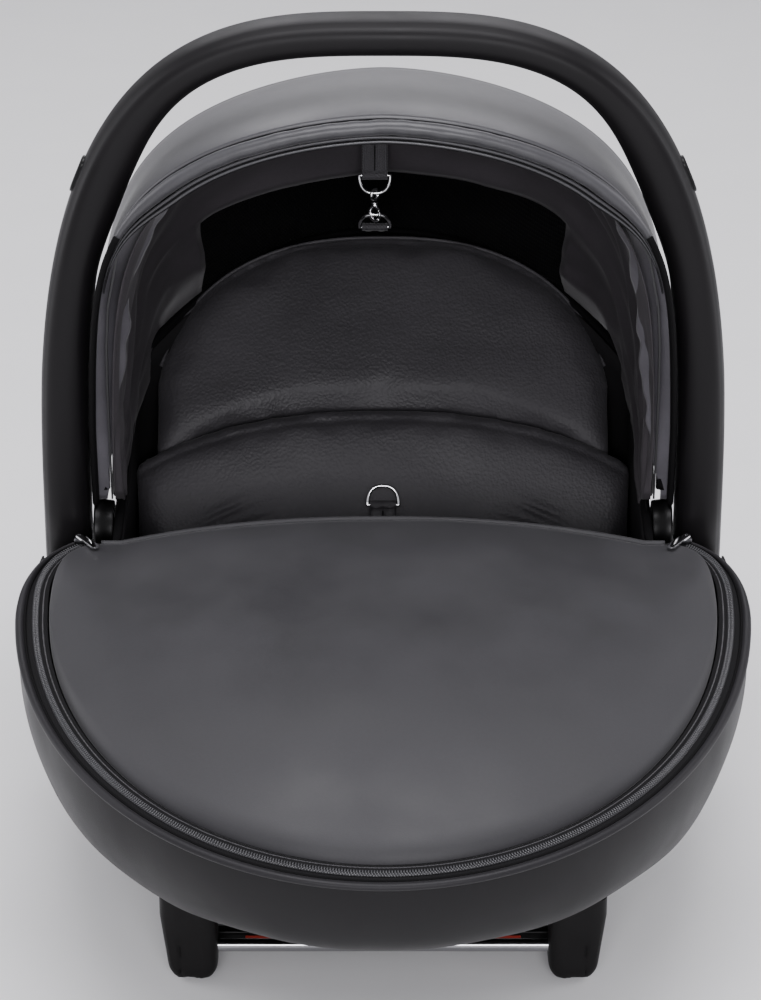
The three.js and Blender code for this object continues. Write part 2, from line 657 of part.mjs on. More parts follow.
// The back cushion's lower edge follows the arched top of the middle cushion in front of it.
function backFoot(x) {
  const fall = MIDDLE_ARCH - archHeight(x, MIDDLE_ARCH, MIDDLE_ARCH_WIDTH, MIDDLE_ARCH_POWER);
  return 24 - 0.92 * fall;
}
add('back_cushion', pad({
  frame: backFrame, halfWidth: 150, archWidth: 152, arch: 146, squareness: 2.4,
  foot: backFoot, thickness: 23, crown: 9,
}), leather);
add('middle_cushion', pad({
  frame: middleFrame, halfWidth: 169, archWidth: MIDDLE_ARCH_WIDTH, arch: MIDDLE_ARCH,
  squareness: MIDDLE_ARCH_POWER, flat: -MIDDLE_ARCH, foot: () => -136, thickness: 24, crown: 8,
}), leather);

function bedPoint(u, v, z) {
  const halfWidth = 148;
  const middle = -95;
  const halfLength = 130;
  const turn = (2 * u - 1) * Math.PI / 2;
  const across = power(Math.sin(turn), 0.75);
  const along = Math.cos(turn) ** 0.75;
  const edge = (1 - Math.abs(2 * v - 1) ** 4) * (1 - Math.abs(2 * u - 1) ** 4);
  return V(halfWidth * across, middle + halfLength * along * (2 * v - 1) * 0.999, z(edge));
}
const bedTop = (u, v) => bedPoint(0.04 + 0.92 * u, v, (edge) => -124 + 8 * edge);
const bedUnder = (u, v) => bedPoint(0.04 + 0.92 * u, v, () => -132);
add('bed_cushion', thickSheet(bedTop, bedUnder, 12, 6), leather);

// ---------------------------------------------------------------- runners and latch rods
const RUNNER_TOP = BASE_LEVEL - GAP;
const RUNNER_SOLE = FLOOR + PAD_HEIGHT + GAP;
const FRONT_ROD_Y = -214;
const REAR_ROD_Y = 150;
const ROD_Z = -186;

function runnerShape() {
  const shape = new THREE.Shape();
  const heel = 8;
  shape.moveTo(RUNNER_FRONT + 3, RUNNER_TOP - 8);
  shape.lineTo(RUNNER_FRONT, RUNNER_SOLE + heel);
  shape.quadraticCurveTo(RUNNER_FRONT, RUNNER_SOLE, RUNNER_FRONT + heel, RUNNER_SOLE);
  shape.lineTo(RUNNER_FRONT + 78, RUNNER_SOLE);
  shape.bezierCurveTo(
    RUNNER_FRONT + 100, RUNNER_SOLE, RUNNER_FRONT + 96, RUNNER_SOLE + 22,
    RUNNER_FRONT + 124, RUNNER_SOLE + 22,
  );
  shape.lineTo(RUNNER_REAR - 124, RUNNER_SOLE + 22);
  shape.bezierCurveTo(
    RUNNER_REAR - 96, RUNNER_SOLE + 22, RUNNER_REAR - 100, RUNNER_SOLE,
    RUNNER_REAR - 78, RUNNER_SOLE,
  );
  shape.lineTo(RUNNER_REAR - heel, RUNNER_SOLE);
  shape.quadraticCurveTo(RUNNER_REAR, RUNNER_SOLE, RUNNER_REAR, RUNNER_SOLE + heel);
  shape.lineTo(RUNNER_REAR - 3, RUNNER_TOP);
  shape.lineTo(RUNNER_FRONT + 60, RUNNER_TOP);
  shape.lineTo(RUNNER_FRONT + 46, RUNNER_TOP - 8);
  return shape;
}

function runner(side) {
  let body = solid(plateAlongX(runnerShape(), side * RUNNER_INNER, side * RUNNER_OUTER, 4));
  for (const y of [FRONT_ROD_Y, REAR_ROD_Y]) {
    const mouth = side * (RUNNER_INNER - 5);
    const end = side * (RUNNER_INNER + 12);
    const socket = rodAlongX(mouth, end, y, ROD_Z, ROD_RADIUS + GAP);
    body = body.subtract(solid(socket));
  }
  const notch = block(side * 115, side * 126, RUNNER_FRONT - 5, RUNNER_FRONT + 4, -206, -190);
  return fromSolid(body.subtract(solid(notch)));
}

const PADS = [['front', RUNNER_FRONT + 8, RUNNER_FRONT + 78], ['rear', RUNNER_REAR - 78, RUNNER_REAR - 8]];
for (const [name, side] of SIDES) {
  add(`runner_${name}`, runner(side), shellPlastic);
  for (const [end, from, to] of PADS) {
    const inner = side * (RUNNER_INNER + 3);
    const outer = side * (RUNNER_OUTER - 3);
    const foot = block(inner, outer, from, to, FLOOR, FLOOR + PAD_HEIGHT);
    add(`foot_pad_${end}_${name}`, foot, rubber);
  }
}
const ROD_REACH = RUNNER_INNER + 11;
add('latch_rod_front', rodAlongX(-ROD_REACH, ROD_REACH, FRONT_ROD_Y, ROD_Z, ROD_RADIUS, 20), chrome);
add('latch_rod_rear', rodAlongX(-ROD_REACH, ROD_REACH, REAR_ROD_Y, ROD_Z, ROD_RADIUS, 20), chrome);
const BAR_REACH = RUNNER_INNER - GAP;
add('latch_cross_bar', block(-BAR_REACH, BAR_REACH, -204, -196, -191, -182.6), shellPlastic);
for (const [name, side] of SIDES) {
  add(`latch_indicator_${name}`, block(side * 52, side * 86, -205.6, -204.3, -188.5, -184), redPlastic);
}

// ---------------------------------------------------------------- tether
const TETHER_X = -5.6;             // the tether hangs a little to the right of the middle
const TETHER_Y = 203;
const UPPER_BAR_Z = 171;
const RING_HALF = 12.8;
const RING_DROP = 13;

// A closed ring of round wire along a flat closed path.
function wireLoop(path, normal, radius, sides = 6) {
  const count = path.length;
  const points = [];
  const triangles = [];
  path.forEach((point, i) => {
    const direction = path[(i + 1) % count].clone().sub(path[(i + count - 1) % count]).normalize();
    const out = direction.clone().cross(normal).normalize();
    points.push(...section(point, normal, radius, out, radius, sides));
  });
  for (let i = 0; i < count; i += 1) {
    for (let j = 0; j < sides; j += 1) {
      const a = i * sides + j;
      const b = i * sides + ((j + 1) % sides);
      const c = ((i + 1) % count) * sides + ((j + 1) % sides);
      const d = ((i + 1) % count) * sides + j;
      triangles.push(a, b, c, a, c, d);
    }
  }
  return fromTriangles(points, triangles);
}

// A D ring: a straight bar through the webbing eye and a round bow away from it.
function dRing(barCentre, towards) {
  const path = [];
  for (let i = 0; i <= 14; i += 1) {
    const turn = (i / 14) * Math.PI;
    path.push(barCentre.clone()
      .addScaledVector(towards, RING_DROP * Math.sin(turn) ** 0.8)
      .add(V(RING_HALF * power(Math.cos(turn), 0.8), 0, 0)));
  }
  path.push(barCentre.clone().add(V(-4, 0, 0)), barCentre.clone().add(V(4, 0, 0)));
  return wireLoop(path, V(1, 0, 0).cross(towards).normalize(), RING_WIRE);
}

// A doubled webbing tab in the Y-Z plane: an eye round a ring bar and a tail towards its anchor.
function webbingTab(eye, tail, thickness) {
  const run = tail.clone().sub(eye);
  const length = run.length();
  const outer = 4.3;
  const turn = Math.asin(thickness / 2 / outer);
  const shape = new THREE.Shape();
  shape.moveTo(length, -thickness / 2);
  shape.lineTo(length, thickness / 2);
  shape.absarc(0, 0, outer, turn, 2 * Math.PI - turn, false);
  const hole = new THREE.Path();
  hole.absarc(0, 0, RING_WIRE + 0.8, 0, 2 * Math.PI, true);
  shape.holes.push(hole);
  const half = WEBBING_WIDTH / 2;
  const geometry = new THREE.ExtrudeGeometry(shape, {
    depth: 2 * half, bevelEnabled: false, curveSegments: 10,
  });
  const along = run.normalize();
  const across = V(1, 0, 0);
  const third = across.clone().cross(along);
  geometry.translate(0, 0, -half).applyMatrix4(new THREE.Matrix4().makeBasis(along, third, across));
  return clean(geometry.translate(eye.x, eye.y, eye.z));
}

const upperEye = V(TETHER_X, TETHER_Y, UPPER_BAR_Z);
add('tether_upper_webbing', webbingTab(upperEye, V(TETHER_X, TETHER_Y, 203), 3), webbing);
add('tether_upper_ring', dRing(upperEye, V(0, 0, -1)), chrome);

const lowerEye = V(TETHER_X, 210.2, 130.6);
const lowerTowards = V(0, -6, 11).normalize();
add('tether_lower_ring', dRing(lowerEye, lowerTowards), chrome);
add('tether_lower_webbing', webbingTab(lowerEye, V(TETHER_X, 247, 116), 3), webbing);

const middleUp = V(0, Math.cos(radians(61)), Math.sin(radians(61)));
const middleOut = V(0, -Math.sin(radians(61)), Math.cos(radians(61)));
const middleEye = V(0, 122, 29).addScaledVector(middleUp, -64).addScaledVector(middleOut, 5.6);
add('cushion_ring', dRing(middleEye, middleUp), chrome);
const middleTail = middleEye.clone().addScaledVector(middleUp, -26);
add('cushion_webbing', webbingTab(middleEye, middleTail, 3), webbing);

// Swivel hook between the upper and the lower ring.
const BOW_Z = UPPER_BAR_Z - RING_DROP;
const HOOK_WIRE = 1.4;
const HOOK_HALF = 5;
const HOOK_TOP = 148.4;
const HOOK_BOTTOM = 138;

function hookPath(fromTurn, toTurn, steps) {
  const middle = (HOOK_TOP + HOOK_BOTTOM) / 2;
  const half = (HOOK_TOP - HOOK_BOTTOM) / 2;
  return Array.from({ length: steps + 1 }, (_, i) => {
    const turn = lerp(fromTurn, toTurn, i / steps);
    return V(TETHER_X, TETHER_Y + HOOK_HALF * Math.cos(turn), middle + half * Math.sin(turn));
  });
}
const hookArc = bar(hookPath(radians(150), radians(-150), 16), V(1, 0, 0), HOOK_WIRE, HOOK_WIRE, 6);
const barrel = new THREE.CylinderGeometry(2.4, 2.8, 3.4, 12);
barrel.rotateX(Math.PI / 2).translate(TETHER_X, TETHER_Y, HOOK_TOP + 1.9);
const hookBody = solid(hookArc).add(solid(clean(barrel)));
add('snap_hook', fromSolid(hookBody), chrome);
const gatePath = hookPath(radians(158), radians(202), 4);
add('snap_hook_gate', bar(gatePath, V(1, 0, 0), 1.1, 1.1, 6), chrome);
const eyeTurns = Array.from({ length: 14 }, (_, i) => (i / 14) * 2 * Math.PI);
const EYE_RADIUS = 3.6;
const EYE_Z = BOW_Z - 1;
const eyePath = eyeTurns.map((turn) => (
  V(TETHER_X, TETHER_Y + EYE_RADIUS * Math.cos(turn), EYE_Z + EYE_RADIUS * Math.sin(turn))));
add('swivel_eye', wireLoop(eyePath, V(1, 0, 0), 1, 6), chrome);

// ---------------------------------------------------------------- stand on the floor
const box = new THREE.Box3().setFromObject(assembly, true);
const middle = box.getCenter(V(0, 0, 0));
assembly.position.set(-middle.x, -middle.y, -box.min.z);

export default assembly;
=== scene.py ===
"""Carrier pod of a pet stroller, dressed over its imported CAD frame."""
import json
import math

import bmesh
import bpy
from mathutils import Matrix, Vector, noise


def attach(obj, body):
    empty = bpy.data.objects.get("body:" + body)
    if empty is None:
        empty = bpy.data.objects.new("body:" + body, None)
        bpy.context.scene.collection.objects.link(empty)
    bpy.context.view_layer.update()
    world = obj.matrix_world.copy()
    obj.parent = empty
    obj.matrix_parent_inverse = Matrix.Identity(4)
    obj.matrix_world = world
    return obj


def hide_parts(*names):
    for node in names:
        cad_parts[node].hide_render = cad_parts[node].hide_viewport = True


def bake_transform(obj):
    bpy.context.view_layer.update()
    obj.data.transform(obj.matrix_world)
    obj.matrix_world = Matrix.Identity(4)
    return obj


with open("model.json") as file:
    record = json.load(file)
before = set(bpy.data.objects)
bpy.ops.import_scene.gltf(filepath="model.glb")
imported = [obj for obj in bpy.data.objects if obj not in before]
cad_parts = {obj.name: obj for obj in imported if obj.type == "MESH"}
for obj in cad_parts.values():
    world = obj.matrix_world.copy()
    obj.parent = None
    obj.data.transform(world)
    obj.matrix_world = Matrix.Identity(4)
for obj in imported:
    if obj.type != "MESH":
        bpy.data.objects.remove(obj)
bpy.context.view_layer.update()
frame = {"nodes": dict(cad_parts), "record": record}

MM = 0.001
JOINTS = {joint["name"]: joint for joint in frame["record"]["behaviour"]["joints"]}
PIVOT = Vector(JOINTS["hood_fold"]["pos_m"])
SIDES = (("left", 1), ("right", -1))


def at(x, y, z):
    """A point given in millimetres from the hood pivot, in the row frame."""
    return PIVOT + Vector((x, y, z)) * MM


def lerp(a, b, t):
    return a + (b - a) * t


def clamp(value, low=0.0, high=1.0):
    return max(low, min(high, value))


def ease(t):
    t = clamp(t)
    return t * t * (3 - 2 * t)


def power(value, exponent):
    return math.copysign(abs(value) ** exponent, value)


def bump_at(value, centre, width):
    """A smooth hump of height 1 round centre."""
    return math.exp(-((value - centre) / width) ** 2)


# ------------------------------------------------------------------ materials
def node(tree, kind, **sockets):
    made = tree.nodes.new(kind)
    for key, value in sockets.items():
        name = key.replace("_", " ")
        if name in made.inputs:
            made.inputs[name].default_value = value
        else:
            setattr(made, key, value)
    return made


def coordinates(tree, scale):
    coords = node(tree, "ShaderNodeTexCoord")
    mapping = node(tree, "ShaderNodeMapping", Scale=scale)
    tree.links.new(coords.outputs["Object"], mapping.inputs["Vector"])
    return mapping.outputs["Vector"]


def grain_height(tree, kind, size):
    """Height of a surface grain of that size in metres: pebble, fine, weave, net or brushed."""
    links = tree.links
    if kind == "pebble":
        vector = coordinates(tree, (1, 1, 1))
        warp = node(tree, "ShaderNodeTexNoise", Scale=0.45 / size, Detail=3.0)
        cells = node(tree, "ShaderNodeTexVoronoi", Scale=1 / size, Randomness=1.0)
        shift = node(tree, "ShaderNodeMixRGB", blend_type="LINEAR_LIGHT", Fac=0.0012)
        links.new(vector, warp.inputs["Vector"])
        links.new(vector, shift.inputs["Color1"])
        links.new(warp.outputs["Color"], shift.inputs["Color2"])
        links.new(shift.outputs["Color"], cells.inputs["Vector"])
        return cells.outputs["Distance"]
    if kind == "weave" or kind == "net":
        product = node(tree, "ShaderNodeMath", operation="MULTIPLY" if kind == "weave" else "MAXIMUM")
        for socket, direction in enumerate(("X", "DIAGONAL")):
            wave = node(tree, "ShaderNodeTexWave", bands_direction=direction, Scale=0.314 / size,
                        Distortion=0.3)
            links.new(coordinates(tree, (1, 1, 1.3)), wave.inputs["Vector"])
            links.new(wave.outputs["Fac"], product.inputs[socket])
        return product.outputs["Value"]
    stretch = (1, 1, 1) if kind == "fine" else (0.06, 1, 1)
    made = node(tree, "ShaderNodeTexNoise", Scale=1 / size, Detail=6.0, Roughness=0.6)
    links.new(coordinates(tree, stretch), made.inputs["Vector"])
    return made.outputs["Fac"]


def surface(name, color, roughness, grain="fine", size=0.0012, depth=0.3, spread=0.18, rough_spread=0.08,
            metallic=0.0, sheen=0.0, coat=0.0, wear=0.0, crease=0.0, specular=0.5):
    """A finished material: colour drifts over the surface, roughness drifts, the grain has height,
    edges are worn, and soft creases can be added."""
    made = bpy.data.materials.new(name)
    made.use_nodes = True
    tree = made.node_tree
    links = tree.links
    shader = tree.nodes["Principled BSDF"]
    shader.inputs["Metallic"].default_value = metallic
    shader.inputs["Sheen Weight"].default_value = sheen
    shader.inputs["Sheen Roughness"].default_value = 0.4
    shader.inputs["Coat Weight"].default_value = coat
    shader.inputs["Coat Roughness"].default_value = 0.25
    shader.inputs["Specular IOR Level"].default_value = specular
    drift = node(tree, "ShaderNodeTexNoise", Scale=14.0, Detail=4.0)
    links.new(coordinates(tree, (1, 1, 1)), drift.inputs["Vector"])
    speckle = node(tree, "ShaderNodeTexNoise", Scale=0.5 / size, Detail=2.0)
    links.new(coordinates(tree, (1, 1, 1)), speckle.inputs["Vector"])
    both = node(tree, "ShaderNodeMath", operation="MULTIPLY_ADD")
    both.inputs[1].default_value = 0.35
    links.new(speckle.outputs["Fac"], both.inputs[0])
    links.new(drift.outputs["Fac"], both.inputs[2])
    ramp = node(tree, "ShaderNodeValToRGB")
    ramp.color_ramp.elements[0].position = 0.45
    ramp.color_ramp.elements[1].position = 0.95
    ramp.color_ramp.elements[0].color = (*[c * (1 - spread) for c in color], 1)
    ramp.color_ramp.elements[1].color = (*[c * (1 + spread) for c in color], 1)
    links.new(both.outputs["Value"], ramp.inputs["Fac"])
    last = ramp.outputs["Color"]
    if wear:
        shape = node(tree, "ShaderNodeNewGeometry")
        edge = node(tree, "ShaderNodeMapRange", From_Min=0.52, From_Max=0.62, To_Min=0.0, To_Max=wear)
        links.new(shape.outputs["Pointiness"], edge.inputs["Value"])
        mix = node(tree, "ShaderNodeMixRGB")
        mix.inputs["Color2"].default_value = (*[min(1, c * 3 + 0.03) for c in color], 1)
        links.new(edge.outputs["Result"], mix.inputs["Fac"])
        links.new(last, mix.inputs["Color1"])
        last = mix.outputs["Color"]
    links.new(last, shader.inputs["Base Color"])
    rough = node(tree, "ShaderNodeMapRange", From_Min=0.3, From_Max=0.7,
                 To_Min=max(0.02, roughness - rough_spread), To_Max=min(1, roughness + rough_spread))
    links.new(drift.outputs["Fac"], rough.inputs["Value"])
    links.new(rough.outputs["Result"], shader.inputs["Roughness"])
    relief = node(tree, "ShaderNodeBump", Strength=depth, Distance=size * 0.35)
    links.new(grain_height(tree, grain, size), relief.inputs["Height"])
    if crease:
        folds = node(tree, "ShaderNodeTexNoise", Scale=9.0, Detail=3.0, Distortion=0.6)
        links.new(coordinates(tree, (1.6, 1, 0.7)), folds.inputs["Vector"])
        under = node(tree, "ShaderNodeBump", Strength=crease, Distance=0.012)
        links.new(folds.outputs["Fac"], under.inputs["Height"])
        links.new(under.outputs["Normal"], relief.inputs["Normal"])
    links.new(relief.outputs["Normal"], shader.inputs["Normal"])
    return made


MATERIALS = {
    "soft_shell": surface("soft_shell", (0.0225, 0.022, 0.0245), 0.58, size=0.0009, depth=0.2,
                          sheen=0.10, crease=0.03, specular=0.42),
    "skirt": surface("skirt_fabric", (0.0052, 0.0048, 0.0054), 0.50, size=0.0009, depth=0.2,
                     sheen=0.03, crease=0.05, specular=0.22),
    # lighter than the skirt: painted highlight where the skirt's top shoulder catches light from above
    "skirt_top": surface("skirt_top_painted_highlight", (0.0095, 0.0088, 0.0104), 0.50, size=0.0009, depth=0.2,
                         sheen=0.04, specular=0.26),
    "hood": surface("hood_satin", (0.038, 0.0375, 0.041), 0.42, size=0.0009, depth=0.2, sheen=0.12,
                    crease=0.05),
    "lining": surface("hood_lining", (0.042, 0.038, 0.042), 0.62, size=0.0012, depth=0.25, sheen=0.06,
                      crease=0.12, specular=0.22),
    # a lighter copy of the lining colour: painted light where the sides of the lining catch the lamps
    "painted_lit_lining": surface("hood_painted_light_strip", (0.080, 0.076, 0.086), 0.50, size=0.0009, depth=0.2, sheen=0.15,
                      crease=0.08),
    "liner": surface("tub_liner", (0.007, 0.0065, 0.007), 0.65, size=0.0012, depth=0.3, crease=0.08,
                     specular=0.25),
    "leather": surface("cushion_leather", (0.038, 0.036, 0.0395), 0.58, "pebble", 0.0021, 0.42,
                       sheen=0.06, crease=0.015, specular=0.36),
    "net": surface("window_net", (0.0012, 0.0012, 0.0014), 0.85, "net", 0.0016, 0.9, specular=0.08),
    "handle": surface("handle_satin", (0.0058, 0.0052, 0.0058), 0.46, size=0.0006, depth=0.10,
                      wear=0.10, specular=0.17),
    "shell": surface("tub_plastic", (0.0045, 0.0041, 0.0042), 0.46, size=0.0008, depth=0.3, wear=0.12,
                     specular=0.18),
    "button": surface("button_plastic", (0.002, 0.002, 0.002), 0.35, size=0.0006, depth=0.1, wear=0.05,
                      specular=0.2),
    "bow": surface("bow_plastic", (0.012, 0.012, 0.013), 0.5, size=0.0006, depth=0.15, wear=0.15),
    "rubber": surface("foot_rubber", (0.010, 0.010, 0.011), 0.85, size=0.0008, depth=0.5),
    "tape": surface("zip_tape", (0.0042, 0.004, 0.0046), 0.75, "weave", 0.0009, 0.8, sheen=0.03,
                    specular=0.15),
    "rim_dark": surface("rim_gusset", (0.0035, 0.0033, 0.0036), 0.8, "weave", 0.0009, 0.6, specular=0.1),
    "coil": surface("zip_coil", (0.045, 0.045, 0.048), 0.24, size=0.0005, depth=0.1),
    "webbing": surface("webbing", (0.034, 0.0325, 0.036), 0.62, "weave", 0.0013, 0.8, sheen=0.2),
    "chrome": surface("chrome", (0.80, 0.80, 0.81), 0.10, "brushed", 0.0006, 0.04, 0.05, 0.04,
                      metallic=1.0),
    "rod": surface("dark_chrome", (0.36, 0.36, 0.37), 0.16, "brushed", 0.0006, 0.04, 0.05, 0.04,
                   metallic=1.0),
    "steel": surface("dark_steel", (0.09, 0.09, 0.095), 0.38, "brushed", 0.0008, 0.2, metallic=1.0),
    "spring": surface("spring_wire", (0.45, 0.45, 0.47), 0.3, "brushed", 0.0005, 0.1, metallic=1.0),
    "red": surface("indicator_red", (0.42, 0.030, 0.018), 0.38, size=0.0008, depth=0.1),
}


# ------------------------------------------------------------------ mesh helpers
def piece(name, points, faces, material, body="root", slot=None, smooth=True):
    mesh = bpy.data.meshes.new(name)
    mesh.from_pydata([tuple(p) for p in points], [], faces)
    made = bpy.data.objects.new(name, mesh)
    bpy.context.scene.collection.objects.link(made)
    work = bmesh.new()
    work.from_mesh(mesh)
    bmesh.ops.remove_doubles(work, verts=work.verts, dist=1e-6)
    bmesh.ops.recalc_face_normals(work, faces=work.faces)
    work.to_mesh(mesh)
    work.free()
    mesh.polygons.foreach_set("use_smooth", [smooth] * len(mesh.polygons))
    mesh.materials.append(MATERIALS[material])
    if body:
        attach(made, body)
    return made


def sheet_points(front, columns, rows):
    return [front(c / columns, r / rows) for r in range(rows + 1) for c in range(columns + 1)]


def thick_sheet(front, back, columns, rows):
    """Points and faces of a closed skin between two surfaces given over u and v from 0 to 1."""
    points = sheet_points(front, columns, rows) + sheet_points(back, columns, rows)
    layer = (columns + 1) * (rows + 1)

    def i(c, r, side):
        return side * layer + r * (columns + 1) + c
    faces = []
    for r in range(rows):
        for c in range(columns):
            faces.append((i(c, r, 0), i(c + 1, r, 0), i(c + 1, r + 1, 0), i(c, r + 1, 0)))
            faces.append((i(c, r, 1), i(c, r + 1, 1), i(c + 1, r + 1, 1), i(c + 1, r, 1)))
    for c in range(columns):
        faces.append((i(c, 0, 0), i(c, 0, 1), i(c + 1, 0, 1), i(c + 1, 0, 0)))
        faces.append((i(c, rows, 0), i(c + 1, rows, 0), i(c + 1, rows, 1), i(c, rows, 1)))
    for r in range(rows):
        faces.append((i(0, r, 0), i(0, r + 1, 0), i(0, r + 1, 1), i(0, r, 1)))
        faces.append((i(columns, r, 0), i(columns, r, 1), i(columns, r + 1, 1), i(columns, r + 1, 0)))
    return points, faces


def ring_links(rings, around, capped=True, closed=False):
    """Faces between rings of points, with a cap on both ends or the last ring joined to the first."""
    last = rings if closed else rings - 1
    faces = [(r * around + i, r * around + (i + 1) % around,
              (r + 1) % rings * around + (i + 1) % around, (r + 1) % rings * around + i)
             for r in range(last) for i in range(around)]
    if capped:
        faces += [tuple(range(around)), tuple((rings - 1) * around + i for i in range(around))]
    return faces


def grid_links(columns, rows):
    """Faces of an open grid of points, laid out row by row."""
    wide = columns + 1
    return [(r * wide + c, r * wide + c + 1, (r + 1) * wide + c + 1, (r + 1) * wide + c)
            for r in range(rows) for c in range(columns)]


def thicken(made, thickness, offset=-1):
    """Gives an open skin its thickness; offset 0 grows it both ways."""
    solidify = made.modifiers.new("thickness", "SOLIDIFY")
    solidify.thickness = thickness
    solidify.offset = offset
    return apply_modifiers(made)


def tube(path, sideways, side_half, other_half, sides=10, squareness=2.0, closed=False):
    """Points and faces of a bar of superellipse section; sideways is a fixed direction or a function."""
    points = []
    count = len(path)
    for k, centre in enumerate(path):
        ahead = path[(k + 1) % count] if closed else path[min(k + 1, count - 1)]
        behind = path[k - 1] if closed else path[max(k - 1, 0)]
        along = (ahead - behind).normalized()
        guide = sideways(k) if callable(sideways) else sideways
        other = along.cross(guide).normalized()
        side = other.cross(along).normalized()
        t = k / (count - 1)
        a = side_half(t) if callable(side_half) else side_half
        b = other_half(t) if callable(other_half) else other_half
        for j in range(sides):
            turn = 2 * math.pi * (j + 0.5) / sides
            points.append(centre + side * a * power(math.cos(turn), 2 / squareness)
                          + other * b * power(math.sin(turn), 2 / squareness))
    return points, ring_links(count, sides, not closed, closed)


def joined(parts):
    """Several (points, faces) as one."""
    points, faces = [], []
    for more, links in parts:
        base = len(points)
        points += more
        faces += [tuple(base + i for i in face) for face in links]
    return points, faces


def subdivide(made, levels=1):
    modifier = made.modifiers.new("subdivide", "SUBSURF")
    modifier.levels = modifier.render_levels = levels
    return made


def bevel(made, width, segments=3):
    modifier = made.modifiers.new("bevel", "BEVEL")
    modifier.width = width
    modifier.segments = segments
    modifier.limit_method = "ANGLE"
    modifier.angle_limit = math.radians(30)
    return made


def apply_modifiers(made):
    graph = bpy.context.evaluated_depsgraph_get()
    mesh = bpy.data.meshes.new_from_object(made.evaluated_get(graph))
    made.modifiers.clear()
    made.data = mesh
    return made


def wobble(point, size, amount, seed=0.0):
    """Smooth noise of about plus or minus amount metres, with features of that size."""
    return amount * noise.noise(Vector(point) / size + Vector((seed, seed * 1.7, -seed)))


# ------------------------------------------------------------------ camera, light and floor
EYE_SLOPE = math.radians(25)
EYE_PLACE = at(-1.64, -2077.0, 988.1)
camera_data = bpy.data.cameras.new("camera")
camera_data.lens = 126.4
camera_data.sensor_width = 36
camera_data.clip_start = 0.1
camera_data.clip_end = 30
camera = bpy.data.objects.new("camera", camera_data)
bpy.context.scene.collection.objects.link(camera)
camera.location = EYE_PLACE
camera.rotation_euler = (math.pi / 2 - EYE_SLOPE, 0, 0)
bpy.context.scene.camera = camera

world = bpy.data.worlds.new("studio")
world.use_nodes = True
world.node_tree.nodes["Background"].inputs["Color"].default_value = (0.985, 0.98, 1.03, 1)
world.node_tree.nodes["Background"].inputs["Strength"].default_value = 0.55
bpy.context.scene.world = world


def softbox(name, place, target, width, height, power_w):
    data = bpy.data.lights.new(name, "AREA")
    data.shape = "RECTANGLE"
    data.size = width
    data.size_y = height
    data.energy = power_w
    data.color = (1.0, 0.985, 1.03)
    made = bpy.data.objects.new(name, data)
    bpy.context.scene.collection.objects.link(made)
    made.location = place
    made.rotation_euler = (Vector(target) - Vector(place)).to_track_quat("-Z", "Y").to_euler()
    return made


softbox("top_light", (0, -0.25, 2.3), (0, -0.02, 0.2), 1.5, 1.1, 46)
softbox("left_strip", (-1.9, 0.25, 0.9), (0, 0, 0.3), 0.8, 1.7, 16)
softbox("right_strip", (1.9, 0.25, 0.9), (0, 0, 0.3), 0.8, 1.7, 16)
softbox("front_fill", (0, -2.7, 1.25), (0, 0, 0.28), 1.6, 0.8, 52)
softbox("back_rim", (0, 1.9, 1.6), (0, 0, 0.4), 1.8, 0.8, 16)

floor_material = surface("floor_paper", (0.80, 0.80, 0.80), 0.8, size=0.004, depth=0.02, spread=0.01)
floor_steps = 24
floor_points = []
for row in range(floor_steps + 1):
    turn = clamp((row - 10) / 8) * math.pi / 2
    back = -9 + row * 1.36 if row <= 10 else 4.6 + 1.2 * math.sin(turn)
    rise = 0.0 if row <= 10 else 1.2 * (1 - math.cos(turn)) + max(0, row - 18) * 0.6
    for side in (-1, 1):
        floor_points.append(Vector((side * 9.0, back, rise - 0.0004)))
floor_faces = [(2 * i, 2 * i + 1, 2 * i + 3, 2 * i + 2) for i in range(floor_steps)]
floor_mesh = bpy.data.meshes.new("floor")
floor_mesh.from_pydata([tuple(p) for p in floor_points], [], floor_faces)
floor_mesh.materials.append(floor_material)
floor_mesh.polygons.foreach_set("use_smooth", [True] * len(floor_mesh.polygons))
floor = bpy.data.objects.new("floor", floor_mesh)
bpy.context.scene.collection.objects.link(floor)


# ------------------------------------------------------------------ hood
HOOD_RADIUS = 299
HOOD_HALF = 183
SIDE_BULGE = 4.8         # the sides fill out towards the handle legs
EDGE_ANGLE = 82          # front edge, degrees back from straight ahead
MIDDLE_SEAM = 108
REAR_SEAM = 134
TAIL_ANGLE = 171
SEAMS = (EDGE_ANGLE, MIDDLE_SEAM, REAR_SEAM, TAIL_ANGLE)
WINDOW_TOP = 146
WINDOW_FOOT = 165
WINDOW_SHARE = 0.4


def hood_point(share, angle, slack):
    """Surface of revolution about the pivot axis; share runs -1 to 1 across, slack is mm inwards."""
    last_part, shoulder, heel = 0.62, 1.37, 0.075
    side, reach = math.copysign(1, share), abs(share)
    turn = min(reach / last_part, 1) * shoulder
    low = math.cos(shoulder) ** (2 / 6.2)
    down = max(0, (reach - last_part) / (1 - last_part))
    height = lerp(low, heel, down) if down > 0 else math.cos(turn) ** (2 / 6.2)
    across = (1 - height ** 6.2) ** (1 / 1.7)
    distance = (HOOD_RADIUS - slack) * height
    back = math.radians(angle)
    half = HOOD_HALF + SIDE_BULGE * clamp((0.70 - height) / 0.45) - slack
    return at(side * half * across, -distance * math.cos(back), distance * math.sin(back))


def panel_share(angle):
    """How far through its panel an angle is, from 0 at the front seam to 1 at the next."""
    for front, rear in zip(SEAMS, SEAMS[1:]):
        if angle <= rear:
            return clamp((angle - front) / (rear - front))
    return 1.0


